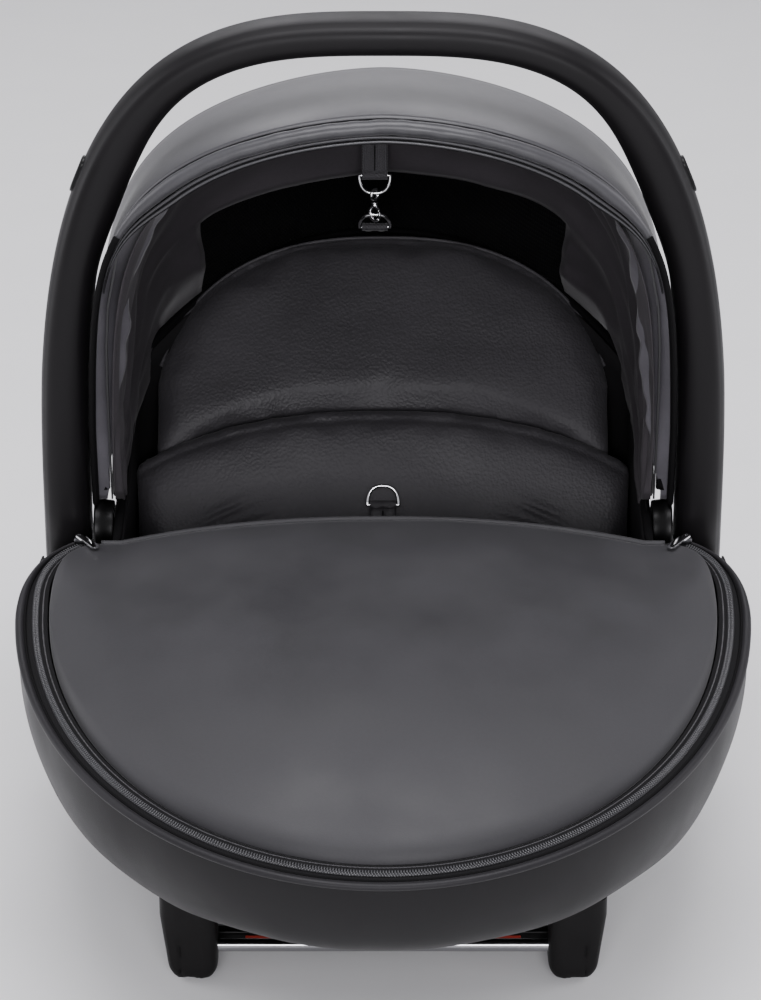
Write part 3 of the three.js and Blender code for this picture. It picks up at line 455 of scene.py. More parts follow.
def cover_slack(share, angle):
    """The cover dips between its bows, pinches at its seams and ripples towards its heels."""
    t = panel_share(angle)
    side = abs(share)
    dip = 3.0 * math.sin(math.pi * t) ** 2 * (1 - side ** 4)
    seam = min(abs(angle - seam) for seam in SEAMS[1:3])
    pinch = 0.9 * bump_at(seam, 0, 0.35) - 0.35 * bump_at(seam, 1.1, 0.5)
    stitch = 0.35 * bump_at(seam, 1.9, 0.16)
    ripple = 1.0 * side ** 3 * math.sin(angle * 0.55 + 9 * side) * math.sin(math.pi * t)
    soft = wobble((share * 2.2, angle / 24, 0.3), 1.0, 1.6) * (0.35 + side)
    loose = 1 - 0.8 * ease((side - 0.5) / 0.25)
    return 0.9 + dip + pinch + stitch + (ripple + soft) * loose


def hood_angle(point):
    """Degrees back from straight ahead, about the pivot."""
    local = Vector(point) - PIVOT
    return math.degrees(math.atan2(local.z, -local.y))


def fold_with_hood(made):
    """Bakes the piece's transform into its mesh and works out how far each point lies from the rear bow towards
    the front edge; nothing uses these shares, so the fabric does not fold.
    """
    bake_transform(made)
    share = [clamp((REAR_SEAM - hood_angle(v.co)) / (REAR_SEAM - EDGE_ANGLE)) for v in made.data.vertices]
    return made


def hood_skin(name, material, slot, angles, slack, thickness, hole=None, columns=120):
    """One continuous curved skin over the hood, with a window left open in it."""
    shares = [2 * c / columns - 1 for c in range(columns + 1)]
    points = [hood_point(s, a, slack(s, a)) for a in angles for s in shares]
    faces = []
    for r in range(len(angles) - 1):
        for c in range(columns):
            middle_share = (shares[c] + shares[c + 1]) / 2
            middle_angle = (angles[r] + angles[r + 1]) / 2
            if hole and abs(middle_share) < hole[0] and hole[1] < middle_angle < hole[2]:
                continue
            i = r * (columns + 1) + c
            faces.append((i, i + 1, i + columns + 2, i + columns + 1))
    made = piece(name, points, faces, material, None, slot)
    area = sum(face.area for face in made.data.polygons)
    thicken(made, thickness, 0)
    fold_with_hood(made)
    reach = max((hood_point(0, angles[0], 0) - hood_point(0, angles[-1], 0)).length * 1.1, 0.3)
    width = area / (0.72 * reach)
    round(width, 3)
    return made


def seam_angles(start, stop, coarse, fine, seams, near=2.6):
    """Angles from start to stop, closer together near the seams."""
    found = [start]
    while found[-1] < stop - 1e-6:
        distance = min(abs(found[-1] - seam) for seam in seams)
        step = fine if distance < near else coarse
        found.append(min(stop, found[-1] + step))
    return found


cover_angles = seam_angles(EDGE_ANGLE, TAIL_ANGLE, 1.0, 0.25, SEAMS[1:3])
cover = hood_skin("hood_cover", "hood", "hood_fabric", cover_angles, cover_slack, 0.0009,
                  (WINDOW_SHARE, WINDOW_TOP, WINDOW_FOOT))
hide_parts("hood_front_panel", "hood_middle_panel", "hood_rear_panel")


def lining_slack(share, angle):
    """The lining hangs in shallow facets between the bows."""
    t = panel_share(angle)
    side = abs(share)
    dip = 5.0 * math.sin(math.pi * clamp(t)) ** 1.4 * (1 - 0.5 * side ** 3)
    spot = Vector((share * 5.2, angle / 7.5, 0.7))
    facets = noise.voronoi(spot, distance_metric="DISTANCE")[0]
    crumple = 7.5 * (facets[0] - 0.35) + 3.0 * noise.noise(spot * 1.7)
    edge = ease((angle - EDGE_ANGLE) / 4)
    return 10.5 + edge * (dip + crumple * (0.55 + 0.45 * side)) + 3.0


lining_angles = [lerp(EDGE_ANGLE + 0.6, 168, i / 72) for i in range(73)]
lining = hood_skin("hood_lining", "lining", "hood_fabric", lining_angles, lining_slack, 0.0006,
                   (WINDOW_SHARE + 0.02, WINDOW_TOP - 1.5, WINDOW_FOOT))


def lit_strip_slack(share, angle):
    """The lighter strip curls off the rim and waves along its free edge; its lighter colour is painted light on
    the lining.
    """
    t = (angle - EDGE_ANGLE) / 8
    side = ease((abs(share) - 0.40) / 0.22)
    wave = noise.noise(Vector((share * 9.5, 4.2, 0.3))) + 0.5 * noise.noise(Vector((share * 21, 8.2, 0.3)))
    return lerp(12.8, 3.2, side) + lerp(5.5, 16.5, side) * t + (lerp(3.6, 5.2, side) * t + 1.3 * side) * wave


def lit_strip_angle(share, v):
    """The painted-light strip is wide down the sides, where the lining is lit, and narrow over the top, with an
    uneven edge.
    """
    width = 3.0 + 5.6 * ease((abs(share) - 0.2) / 0.3) * (1 - ease((abs(share) - 0.74) / 0.3))
    width += (1.1 * noise.noise(Vector((share * 13, 1.0, 2.0)))
              + 0.7 * noise.noise(Vector((share * 31, 1.0, 5.0))))
    return EDGE_ANGLE - 0.4 + v * width


# a strip shaped like the lining but lighter: painted light on the lining's lit sides
def hood_painted_light_strip(columns=220, rows=16):
    points = []
    for r in range(rows + 1):
        for c in range(columns + 1):
            share = 2 * c / columns - 1
            angle = lit_strip_angle(share, r / rows)
            points.append(hood_point(share, angle, lit_strip_slack(share, angle)))
    made = piece("hood_painted_light_strip", points, grid_links(columns, rows), "painted_lit_lining", None, "hood_fabric")
    thicken(made, 0.0008)
    fold_with_hood(made)


hood_painted_light_strip()


def hood_grid(name, material, slot, body, shares, angles, slack, thickness):
    points = [hood_point(s, a, slack(s, a)) for a in angles for s in shares]
    columns = len(shares) - 1
    return thicken(piece(name, points, grid_links(columns, len(angles) - 1), material, body, slot), thickness)


def spread(low, high, count):
    return [lerp(low, high, i / count) for i in range(count + 1)]


window = hood_grid("hood_window_net", "net", "mesh_fabric", "root",
                   spread(-WINDOW_SHARE - 0.02, WINDOW_SHARE + 0.02, 48),
                   spread(WINDOW_TOP - 1, WINDOW_FOOT + 1, 20), lambda s, a: 4.9, 0.0004)
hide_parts("mesh_window")


def window_edge(turn, grow=0.0):
    """Rounded rectangle round the window, as share and angle."""
    share = power(math.cos(turn), 0.35) * (WINDOW_SHARE + grow)
    middle = (WINDOW_TOP + WINDOW_FOOT) / 2
    return share, middle + power(math.sin(turn), 0.35) * (WINDOW_FOOT - middle + 20 * grow)


edge_path = [hood_point(*window_edge(2 * math.pi * i / 160), 1.2) for i in range(160)]
edge_outward = [(p - PIVOT).normalized() for p in edge_path]
window_binding = piece("window_binding",
                       *tube(edge_path, lambda k: edge_outward[k], 0.0014, 0.0032, 10, 2.6, closed=True),
                       "hood", "root", "hood_fabric")


def border_point(turn, v):
    """From the rounded opening out past the square-cut edge of the cover."""
    share, angle = window_edge(turn, -0.006)
    middle, half_angle = (WINDOW_TOP + WINDOW_FOOT) / 2, (WINDOW_FOOT - WINDOW_TOP) / 2 + 1.1
    reach = max(abs(share) / (WINDOW_SHARE + 0.022), abs(angle - middle) / half_angle)
    s, a = lerp(share, share / reach, v), middle + lerp(angle - middle, (angle - middle) / reach, v)
    return hood_point(s, a, cover_slack(s, a) - 1.0)


def window_border(around=240, rows=4):
    points = [border_point(2 * math.pi * i / around, r / rows)
              for r in range(rows + 1) for i in range(around)]
    faces = ring_links(rows + 1, around, capped=False)
    return thicken(piece("window_border", points, faces, "hood", "root", "hood_fabric"), 0.0006)


window_border()
EDGE_BACK = math.radians(EDGE_ANGLE)
FORWARDS = Vector((0, -math.sin(EDGE_BACK), -math.cos(EDGE_BACK)))


def slender(share):
    """1 over the top of the rim, less down its sides, where everything draws together."""
    return lerp(1.0, 0.34, ease((abs(share) - 0.40) / 0.20))


def rim_path(slack, ahead, steps=240):
    """A line along the front edge of the hood, so many mm inside it and ahead of it."""
    shares = [2 * i / steps - 1 for i in range(steps + 1)]
    return [hood_point(s, EDGE_ANGLE, slack * slender(s)) + FORWARDS * ahead * MM * slender(s)
            for s in shares]


def part_of(path, low, high):
    """The part of a path between two shares of its length, from -1 to 1."""
    last = len(path) - 1
    return path[round((low + 1) / 2 * last):round((high + 1) / 2 * last) + 1]


def rim_strip(name, material, slot, slack, ahead, along, out, sides=12, squareness=2.2, crumple=0.0,
              reach=1.0):
    """A strip sewn along the rim, between plus and minus that share of its length."""
    path = part_of(rim_path(slack, ahead), -reach, reach)
    width = lambda half: lambda t: half * slender((2 * t - 1) * reach) * MM
    points, faces = tube(path, FORWARDS, width(along), width(out), sides, squareness)
    if crumple:
        for i, point in enumerate(points[:len(path) * sides]):
            middle = path[i // sides]
            share = (2 * (i // sides) / (len(path) - 1) - 1) * reach
            crease = noise.noise(Vector((share * 46, (i % sides) * 0.12, 0.4)))
            crease += 0.6 * noise.noise(Vector((share * 19, (i % sides) * 0.2, 2.4)))
            grow = 1 + crumple * crease * (0.45 + 0.55 * bump_at(share, 0, 0.3))
            points[i] = middle + (point - middle) * grow
    return piece(name, points, faces, material, "hood_front", slot)


binding = rim_strip("hood_rim_roll", "hood", "hood_fabric", 4.6, 4.6, 5.0, 4.7, 16, 2.0, 0.10, 0.60)
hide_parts("hood_rim_binding")
rim_strip("hood_rim_piping", "hood", "hood_fabric", 9.9, 7.2, 1.1, 1.1, 10, 2.0, reach=0.60)
rim_strip("hood_rim_tape_outer", "tape", "zip_tape", 11.6, 6.4, 2.6, 0.8, 10, 3.0, reach=0.62)
rim_strip("hood_rim_coil", "coil", "zip_coil", 12.4, 8.2, 1.2, 1.2, 8, 2.0, reach=0.58)
rim_strip("hood_rim_tape_inner", "tape", "zip_tape", 13.4, 6.6, 2.6, 0.7, 10, 3.0, reach=0.62)


def shade_strip_width(side):
    """Half width along the rim's own direction of the dark strip of painted shade, tapered towards the
    shoulder.
    """
    return lambda t: (1.2 + 4.0 * ease((t if side > 0 else 1 - t) * 3.5)) * MM


def tuck_width(side):
    """Half width that grows from nothing at the shoulder to its full size down the side."""
    return lambda t: (0.8 + 3.9 * ease((t if side > 0 else 1 - t) * 3)) * MM


for name, side in SIDES:
    low, high = sorted((side * 0.535, side))
    # a dark strip down each side of the rim: painted shade where the rim band lies in shadow beside the handle
    # legs
    shade_strip_path = part_of(rim_path(3.2, 9.5), low, high)
    piece(f"hood_side_shade_strip_{name}", *tube(shade_strip_path, FORWARDS, shade_strip_width(side), 0.0022, 12, 2.4),
          "rim_dark", "hood_front", "zip_tape")
    low, high = sorted((side * 0.58, side * 0.985))
    tuck = part_of([hood_point(2 * i / 240 - 1, EDGE_ANGLE + 7, 5.6) for i in range(241)], low, high)
    fold_with_hood(piece(f"hood_heel_tuck_{name}", *tube(tuck, FORWARDS, 0.0036, tuck_width(side), 12, 2.6),
                         "rim_dark", None, "hood_fabric"))
for joint_angle, name, body in ((MIDDLE_SEAM, "middle", "hood_middle"), (REAR_SEAM, "rear", "root")):
    line = [hood_point(2 * i / 200 - 1, joint_angle, 1.4) for i in range(201)]
    ridge = [(p - Vector((p.x, PIVOT.y, PIVOT.z))).normalized() for p in line]
    piece(f"hood_seam_piping_{name}", *tube(line, lambda k: ridge[k], 0.0011, 0.0010, 8), "hood", body,
          "hood_fabric")


# ------------------------------------------------------------------ bowl, skirt, zip and apron
BOWL_MIDDLE = -70
TUB_SIDE = 175.4
SHOULDER = -27
SHOULDER_REACH = 140.5   # 0.8 x + 0.6 y along the slanted shoulders
WALL = 3.2


def rim_level(y):
    return 6 + 0.17 * y if y < 0 else 6 + 99 * (y / 268) ** 1.4


def soft_min(a, b, blend):
    """The smaller of two lengths, with the corner between them rounded off."""
    return min(a, b) - blend * math.log(1 + math.exp(-abs(a - b) / blend))


def bowl_point(heading, depth, offset, raise_by=0.0, trimmed=True):
    """heading 0 at the nose, pi at the tail; depth 0 at the rim, 1 at the underside. The shoulders are
    drawn in ahead of the handle legs unless told otherwise."""
    turn = depth * math.pi / 2
    narrow = max(0, math.cos(turn)) ** (2 / 2.35)
    sink = math.sin(turn) ** (2 / 2.35)
    half = lerp(146, 222, narrow) + offset
    nose = lerp(166, 280, narrow) + offset
    tail = lerp(268, 338, narrow) + offset
    cos, sin = math.cos(heading), math.sin(heading)
    if cos > 0:
        x, y, rim_y = half * sin, BOWL_MIDDLE - nose * cos, BOWL_MIDDLE - 280 * cos
    else:
        x = half * power(sin, 2 / 2.1)
        y = BOWL_MIDDLE - tail * power(cos, 2 / 2.1)
        rim_y = BOWL_MIDDLE - 338 * power(cos, 2 / 2.1)
    if trimmed and -90 < y < 40:
        limit = max((SHOULDER_REACH - 0.6 * y) / 0.8, TUB_SIDE + 4.6) + offset
        x = math.copysign(soft_min(abs(x), limit, 2.5), x)
    rim = rim_level(rim_y)
    base = -145 + 10 * max(0, cos) - offset
    return at(x, y, rim - (rim - base) * sink + raise_by)


def bowl_body(offset, raise_by, side_limit, shoulder, around=176, levels=40):
    """Closed solid of the bowl with the flat sides cut for the handle legs."""
    headings = [2 * math.pi * i / around for i in range(around)]
    rings = [[bowl_point(t, 0, offset, raise_by) for t in headings]] if raise_by else []
    rings += [[bowl_point(t, level / levels, offset) for t in headings] for level in range(levels + 1)]
    points = [p for ring in rings for p in ring]
    body = piece("bowl_work", points, ring_links(len(rings), around), "shell", None)
    for _, side in SIDES:
        near, far = sorted((side * side_limit, side * 400))
        cut = block("bowl_cutter", near, far, shoulder, 500, -400, 400)
        boolean(body, cut)
    return body


def block(name, x0, x1, y0, y1, z0, z1, material="shell", body=None, slot=None):
    corners = [at(x, y, z) for x in (x0, x1) for y in (y0, y1) for z in (z0, z1)]
    faces = [(0, 1, 3, 2), (4, 6, 7, 5), (0, 4, 5, 1), (2, 3, 7, 6), (0, 2, 6, 4), (1, 5, 7, 3)]
    return piece(name, corners, faces, material, body, slot, smooth=False)


def boolean(body, tool, operation="DIFFERENCE"):
    modifier = body.modifiers.new("cut", "BOOLEAN")
    modifier.operation = operation
    modifier.solver = "EXACT"
    modifier.object = tool
    bpy.context.view_layer.update()
    apply_modifiers(body)
    bpy.data.objects.remove(tool)
    return body


def smooth_by_angle(made, degrees=35):
    """Smooth shading that keeps the edges sharper than that angle."""
    work = bmesh.new()
    work.from_mesh(made.data)
    for face in work.faces:
        face.smooth = True
    for edge in work.edges:
        edge.smooth = len(edge.link_faces) == 2 and edge.calc_face_angle(0) < math.radians(degrees)
    work.to_mesh(made.data)
    work.free()
    return made


tub = bowl_body(0, 0, TUB_SIDE, SHOULDER)
boolean(tub, bowl_body(-WALL, 30, TUB_SIDE - WALL, SHOULDER - WALL))
tub.name = tub.data.name = "tub_moulding"
bevel(tub, 0.0008, 2)
smooth_by_angle(apply_modifiers(tub))
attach(tub, "root")
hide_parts("tub_shell")


def skirt_sweep(depth):
    return 93 - 28 * max(0, depth) ** 1.4


def skirt_offset(heading, v):
    """The fabric swells under its top seam, hangs in soft folds and pulls in at the hem."""
    side = abs(math.sin(heading))
    swell = 4.2 * side ** 4 * bump_at(v, 0.16, 0.2) + 2.4 * math.sin(math.pi * clamp(v)) ** 0.8
    fold = 1.5 * math.sin(heading * 11 + 4 * v) * bump_at(v, 0.72, 0.3) * side ** 2
    fold += 1.9 * noise.noise(Vector((heading * 3.1, v * 1.3, 5))) * ease(v * 2.2) * (0.4 + side)
    roll = 4.0 * math.sqrt(max(0, 1 - (1 - clamp(v / 0.035)) ** 2)) - 4.0
    gather = -1.0 * ease((v - 0.9) / 0.1) - 2.4 * ease((v - 0.35) / 0.3) * (1 - side ** 2)
    return 6.0 + swell + fold + roll + gather


def skirt_point(u, v, inner=False):
    depth = lerp(0.004, 0.86, v)
    sweep = math.radians(skirt_sweep(depth) + 0.8)
    heading = lerp(-sweep, sweep, u)
    edge = min(u, 1 - u) * 2 * sweep
    tuck = 2.6 * (1 - math.sqrt(max(0, 1 - (1 - clamp(edge / 0.022)) ** 2)))
    offset = 2.5 if inner else skirt_offset(heading, v) - tuck
    return bowl_point(heading, depth, offset)


skirt = piece("fabric_skirt_cover", *thick_sheet(lambda u, v: skirt_point(u, v),
                                                 lambda u, v: skirt_point(u, v, True), 220, 64),
              "skirt", "root", "soft_shell")
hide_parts("fabric_skirt")


def skirt_line(v_of, heading_of, offset, steps=200):
    return [bowl_point(heading_of(i / steps), v_of(i / steps), offset) for i in range(steps + 1)]


for name, side in SIDES:
    hem = []
    for i in range(121):
        depth = lerp(0.02, 0.86, i / 120)
        heading = math.radians(skirt_sweep(depth) + 1.0) * side
        hem.append(bowl_point(heading, depth, 5.2 + 1.2 * math.sin(math.pi * i / 120)))
    # the rear hem takes the lighter hood colour: painted highlight where the rolled hem catches the light
    piece(f"skirt_rear_hem_{name}", *tube(hem, (0, 1, 0), 0.0026, 0.0024, 12, 2.2),
          "hood", "root", "soft_shell")
bottom = skirt_line(lambda t: 0.863, lambda t: math.radians(lerp(-67, 67, t)), 4.6)
piece("skirt_lower_hem", *tube(bottom, (0, 0, 1), 0.0026, 0.0022, 12, 2.2), "skirt", "root", "soft_shell")


def fairing_point(side, u, v, thickness):
    depth = lerp(0.13, 0.96, v)
    heading = math.radians(lerp(skirt_sweep(depth) + 1.6, 105, u))
    proud = lerp(15.5, 4, v ** 2.6)
    edge = min(u * 2.0, (1 - u) * 2.0, v * 3, (1 - v) * 3)
    round_off = 1.6 * (1 - math.sqrt(max(0, 1 - (1 - clamp(edge / 0.16)) ** 2)))
    offset = proud - thickness - (round_off if thickness == 0 else 0)
    return bowl_point(heading * side, depth, offset, 0, False)


for name, side in SIDES:
    fairing = piece(f"fairing_{name}", *thick_sheet(lambda u, v: fairing_point(side, u, v, 0),
                                                    lambda u, v: fairing_point(side, u, v, 3.0), 36, 48),
                    "shell", "root", "shell_plastic")
    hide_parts(f"side_fairing_{name}")

ZIP_HALF = 219
ZIP_NOSE = 283
ZIP_MIDDLE = -86         # the plan is widest a little ahead of the bowl's middle
ZIP_END = (190, -32)
ZIP_LIFT = 2.1


def zip_front(rounding, nose):
    return ZIP_MIDDLE - (nose + ZIP_MIDDLE - BOWL_MIDDLE) * rounding ** 0.96


def zip_plan(steps=300):
    """Plan line of the zip in mm: half an ellipse round the nose, and a bend inwards at each end."""
    plan = []
    for i in range(steps + 1):
        heading = (i / steps - 0.5) * math.pi
        plan.append(Vector((ZIP_HALF * math.sin(heading), zip_front(math.cos(heading), ZIP_NOSE))))
    start, turn, end = Vector((ZIP_HALF, ZIP_MIDDLE)), Vector((ZIP_HALF - 1, -44)), Vector(ZIP_END)
    bend = []
    for i in range(1, 25):
        t = i / 24
        bend.append(start * (1 - t) ** 2 + turn * 2 * t * (1 - t) + end * t * t)
    plan = [Vector((-p.x, p.y)) for p in reversed(bend)] + plan + bend
    even = [plan[0]]
    pitch = 1.0
    for ahead in plan[1:]:
        while (ahead - even[-1]).length >= pitch:
            even.append(even[-1] + (ahead - even[-1]).normalized() * pitch)
    return even


ZIP_PLAN = zip_plan()


def gathered(t, least):
    """1 along most of the zip, falling to that least share at its two ends."""
    return lerp(least, 1.0, ease(min(t, 1 - t) * len(ZIP_PLAN) / 90))


def zip_strip(outwards, lift, half_height, half_width, sides, squareness=2.0):
    """A strip beside the zip; the strips outside it draw together towards the sliders."""
    least = 0.4 if outwards > 0 else 0.75
    return tube(zip_line(outwards, lift, 3, least), UP, half_height * MM,
                lambda t: half_width * gathered(t, least) * MM, sides, squareness)


def zip_line(outwards, lift=0.0, step=3, least=1.0):
    """The zip's line moved outwards across the tape by so many mm and lifted above the rim."""
    line = []
    last = len(ZIP_PLAN) - 1
    for i in range(0, last + 1, step):
        run = (ZIP_PLAN[min(i + 2, last)] - ZIP_PLAN[max(i - 2, 0)]).normalized()
        here = ZIP_PLAN[i] + Vector((run.y, -run.x)) * outwards * gathered(i / last, least)
        line.append(at(here.x, here.y, rim_level(here.y) + ZIP_LIFT + lift))
    return line


UP = Vector((0, 0, 1))
lower_tape = piece("zip_tape_outer", *zip_strip(3.6, 0.0, 0.6, 2.7, 14, 3.0), "tape", "root", "zip_tape")
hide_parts("zip_tape_lower")
upper_tape = piece("zip_tape_inner", *zip_strip(-4.4, 0.4, 0.7, 3.3, 14, 3.0), "tape", "apron",
                   "zip_tape")
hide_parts("zip_tape_upper")
piece("zip_tape_stitch", *zip_strip(-4.6, 1.2, 0.3, 0.4, 6), "webbing", "apron", "zip_tape")
piece("zip_outer_binding", *zip_strip(6.6, 0.7, 1.2, 1.0, 10), "rim_dark", "root", "zip_tape")
# the top roll takes the lighter skirt colour: painted highlight along the skirt's shoulder
piece("skirt_top_roll", *zip_strip(9.8, 0.0, 2.3, 3.0, 14), "skirt_top", "root", "soft_shell")


def coil_teeth():
    """One coil of interlocked loops: each loop is a small bent bar across the zip."""
    parts = []
    last = len(ZIP_PLAN) - 1
    spacing = 1.7
    count = int((last - 8) / spacing)
    for k in range(count):
        place = 4 + k * spacing
        i = int(place)
        run = (ZIP_PLAN[min(i + 1, last)] - ZIP_PLAN[max(i - 1, 0)]).normalized()
        middle = ZIP_PLAN[i].lerp(ZIP_PLAN[min(i + 1, last)], place - i)
        out = Vector((run.y, -run.x))
        path = []
        for across, lift in ((-2.1, 0.0), (-1.3, 0.95), (-0.4, 0.45), (0.4, 0.45), (1.3, 0.95), (2.1, 0.0)):
            here = middle + out * across + run * (0.28 if across > 0 else -0.28)
            path.append(at(here.x, here.y, rim_level(here.y) + ZIP_LIFT + 0.9 + lift))
        parts.append(tube(path, Vector((run.x, run.y, 0)), 0.00062, 0.0005, 5))
    return joined(parts)


coil = piece("zip_coil_loops", *coil_teeth(), "coil", "root", "zip_coil")
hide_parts("zip_coil")
piece("zip_coil_core", *tube(zip_line(0, 0.5), UP, 0.0006, 0.0024, 8, 2.6), "coil", "root", "zip_coil")

APRON_HALF = ZIP_HALF - 8.6
APRON_NOSE = ZIP_NOSE - 8.6


def apron_point(u, v, under=False):
    share = math.sin((u - 0.5) * math.pi)
    rounding = math.sqrt(max(0, 1 - share * share))
    nose = zip_front(rounding, APRON_NOSE)
    bend = 1 - math.sqrt(1 - clamp((abs(share) - 0.86) / 0.14))
    far = -39 - 47 * bend ** 2
    y = lerp(far, nose, v)
    x = APRON_HALF * share
    arch = lerp(max(0, 1 - (abs(share) / 0.8) ** 2.2), 1 - abs(share) ** 2.4, ease(v / 0.4))
    crown = arch * (0.58 + 1.2 * v) * (1 - v ** 2.2)
    zip_gap = min((1 - v) * (far - nose), APRON_HALF * (1 - abs(share)) * 1.25 + 300 * v * (1 - abs(share)))
    roll = math.sqrt(max(0, 1 - (1 - clamp(zip_gap / 13)) ** 2))
    hem = math.sqrt(max(0, 1 - (1 - clamp(v * (far - nose) / 3.0)) ** 2))
    soft = wobble((x, y, 3), 95, 1.5) + wobble((x, y, 9), 38, 0.5)
    top = rim_level(y) + ZIP_LIFT + 0.4 + 30 * crown
    if under:
        return at(x, y, top - 1.0)
    return at(x, y, top + 6.2 * roll * (0.35 + 0.65 * hem) + soft * roll * hem)


apron_points, apron_faces = thick_sheet(lambda u, v: apron_point(u, v),
                                        lambda u, v: apron_point(u, v, True), 150, 110)
apron = piece("apron_cover", apron_points, apron_faces, "soft_shell", "apron", "soft_shell")
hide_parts("apron")
far_hem = [apron_point(i / 160, 0.0, False) + Vector((0, 0.0012, 0.0016)) for i in range(27, 134)]
piece("apron_far_hem", *tube(far_hem, UP, 0.0026, 0.0020, 10, 2.2), "soft_shell", "apron", "soft_shell")


# ------------------------------------------------------------------ inner liner
def liner_point(turn, depth, offset):
    """The bowl's inside, drawn in beside the handle legs where the tub has flat sides."""
    puff = 1.2 * noise.noise(Vector((math.cos(turn) * 3.1, math.sin(turn) * 3.1, depth * 4)))
    here = bowl_point(turn, depth, offset + puff) - PIVOT
    limit = lerp(236, 170.8 + offset + WALL, ease((here.y / MM + 44) / 14)) * MM
    return PIVOT + Vector((clamp(here.x, -limit, limit), here.y, here.z + 0.0003))


def ring_sheet(point, around, levels, inner, outer):
    """Closed skin that runs right round, between two offsets of one surface."""
    points = [point(2 * math.pi * i / around, level / levels, offset)
              for offset in (outer, inner) for level in range(levels + 1) for i in range(around)]
    layer = around * (levels + 1)
    faces = []
    for level in range(levels):
        for i in range(around):
            a, b = level * around + i, level * around + (i + 1) % around
            faces.append((a, b, b + around, a + around))
            faces.append((a + layer, a + around + layer, b + around + layer, b + layer))
    for level in (0, levels):
        for i in range(around):
            a, b = level * around + i, level * around + (i + 1) % around
            faces.append((a, a + layer, b + layer, b))
    return points, faces


liner_skin = ring_sheet(lambda t, d, o: liner_point(t, 0.002 + 0.9 * d, o), 180, 36, -WALL - 1.9, -WALL - 0.5)
piece("inner_liner", *liner_skin, "liner", "root", "hood_fabric")
rim_turns = [2 * math.pi * i / 240 for i in range(240)]
rim_roll = [liner_point(t, 0.0, -WALL * 0.5) + Vector((0, 0, 0.0012)) for t in rim_turns
            if abs(math.degrees(t) - 180) < 86]
piece("rear_rim_trim", *tube(rim_roll, UP, 0.0021, 0.0031, 12, 2.2), "rim_dark", "root", "shell_plastic")


# ------------------------------------------------------------------ cushions
def lean_frame(y, z, slope):
    """Point on a leaning plane: x across, up the lean, out of it towards the front, all in mm."""
    lean = math.radians(slope)
    up = Vector((0, math.cos(lean), math.sin(lean)))
    out = Vector((0, -math.sin(lean), math.cos(lean)))

    def place(x, rise, proud):
        return at(x, y, z) + (up * rise + out * proud) * MM
    return place


def arch_height(x, arch, width, squareness, base=0.0):
    return arch * max(0, 1 - abs(x / width) ** squareness) ** (1 / squareness) + base


def back_top(x):
    return arch_height(x, 152, 160, 2.4)


def back_foot(x):
    return 16 - 0.92 * (133 - arch_height(x, 133, 225, 2.2))


def middle_top(x):
    return arch_height(x, 133, 225, 2.2, -129)


PAD_SPARE = 3.2          # filling and smoothing draw the edges in by about this much


def pad_skin(place, half, top, foot, thickness, crown, columns=60, rows=34):
    """A crowned pad that is still 12 mm thick at its edges, a little flatter than it will be once filled."""
    def side(front):
        def point(u, v):
            x = (half + PAD_SPARE) * math.sin((u - 0.5) * math.pi)
            low, high = foot(x) - PAD_SPARE, top(x * half / (half + PAD_SPARE)) + PAD_SPARE
            edge = (1 - abs(2 * u - 1) ** 5) * (1 - abs(2 * v - 1) ** 5)
            proud = -crown * (1 - edge) - 1.5 if front else -thickness + 0.5 + 3 * (1 - edge)
            return place(x, lerp(low, max(high, low + 4), v), proud)
        return point
    return thick_sheet(side(True), side(False), columns, rows)


def plump(made, cap, pressure=4.0):
    """Fills the shell with air for a moment, and keeps each point within cap metres of its start."""
    remesh = made.modifiers.new("remesh", "REMESH")
    remesh.mode = "VOXEL"
    remesh.voxel_size = 0.005
    apply_modifiers(made)
    start = [v.co.copy() for v in made.data.vertices]
    cloth = made.modifiers.new("cloth", "CLOTH")
    cloth.settings.use_pressure = True
    cloth.settings.uniform_pressure_force = pressure
    cloth.settings.effector_weights.gravity = 0
    cloth.point_cache.frame_start, cloth.point_cache.frame_end = 1, 20
    scene = bpy.context.scene
    for step in range(1, 21):
        scene.frame_set(step)
    apply_modifiers(made)
    scene.frame_set(1)
    for vertex, origin in zip(made.data.vertices, start):
        moved = vertex.co - origin
        if moved.length > cap:
            vertex.co = origin + moved * (cap / moved.length)
    smooth = made.modifiers.new("smooth", "SMOOTH")
    smooth.factor, smooth.iterations = 0.5, 3
    subdivide(made, 1)
    apply_modifiers(made)
    made.data.polygons.foreach_set("use_smooth", [True] * len(made.data.polygons))
    return made


def local_of(place):
    """Turns a row-frame point back into (x, rise, proud) of a leaning plane, in mm."""
    origin, ux, uo = place(0, 0, 0), place(0, 1, 0), place(0, 0, 1)
    up, out = (ux - origin) / MM, (uo - origin) / MM

    def local(point):
        d = (Vector(point) - origin) / MM
        return d.x, d.dot(up), d.dot(out)
    return local


def press(made, place, height):
    """Moves the front of a pad out of its plane by height(x, rise) in mm, fading towards its back."""
    local = local_of(place)
    out = (place(0, 0, 1) - place(0, 0, 0))
    for vertex in made.data.vertices:
        x, rise, proud = local(vertex.co)
        vertex.co += out * height(x, rise) * ease((proud + 16) / 10)
    return made


back_place = lean_frame(130, 10, 46)
middle_place = lean_frame(122, 29, 61)


def cushion(name, place, half, top, foot, thickness, crown, cap, cad, height):
    made = piece(name, *pad_skin(place, half, top, foot, thickness, crown),
                 "leather", None, "cushion_leather")
    plump(made, cap)
    press(made, place, height)
    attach(made, "root")
    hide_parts(cad)
    return made


def back_height(x, rise):
    welt = top_gap(x, rise, back_top)
    return 0.7 * noise.noise(Vector((x / 34, rise / 26, 1))) - 1.6 * bump_at(welt, 9, 2.0)


def top_gap(x, rise, top):
    return top(x) - rise


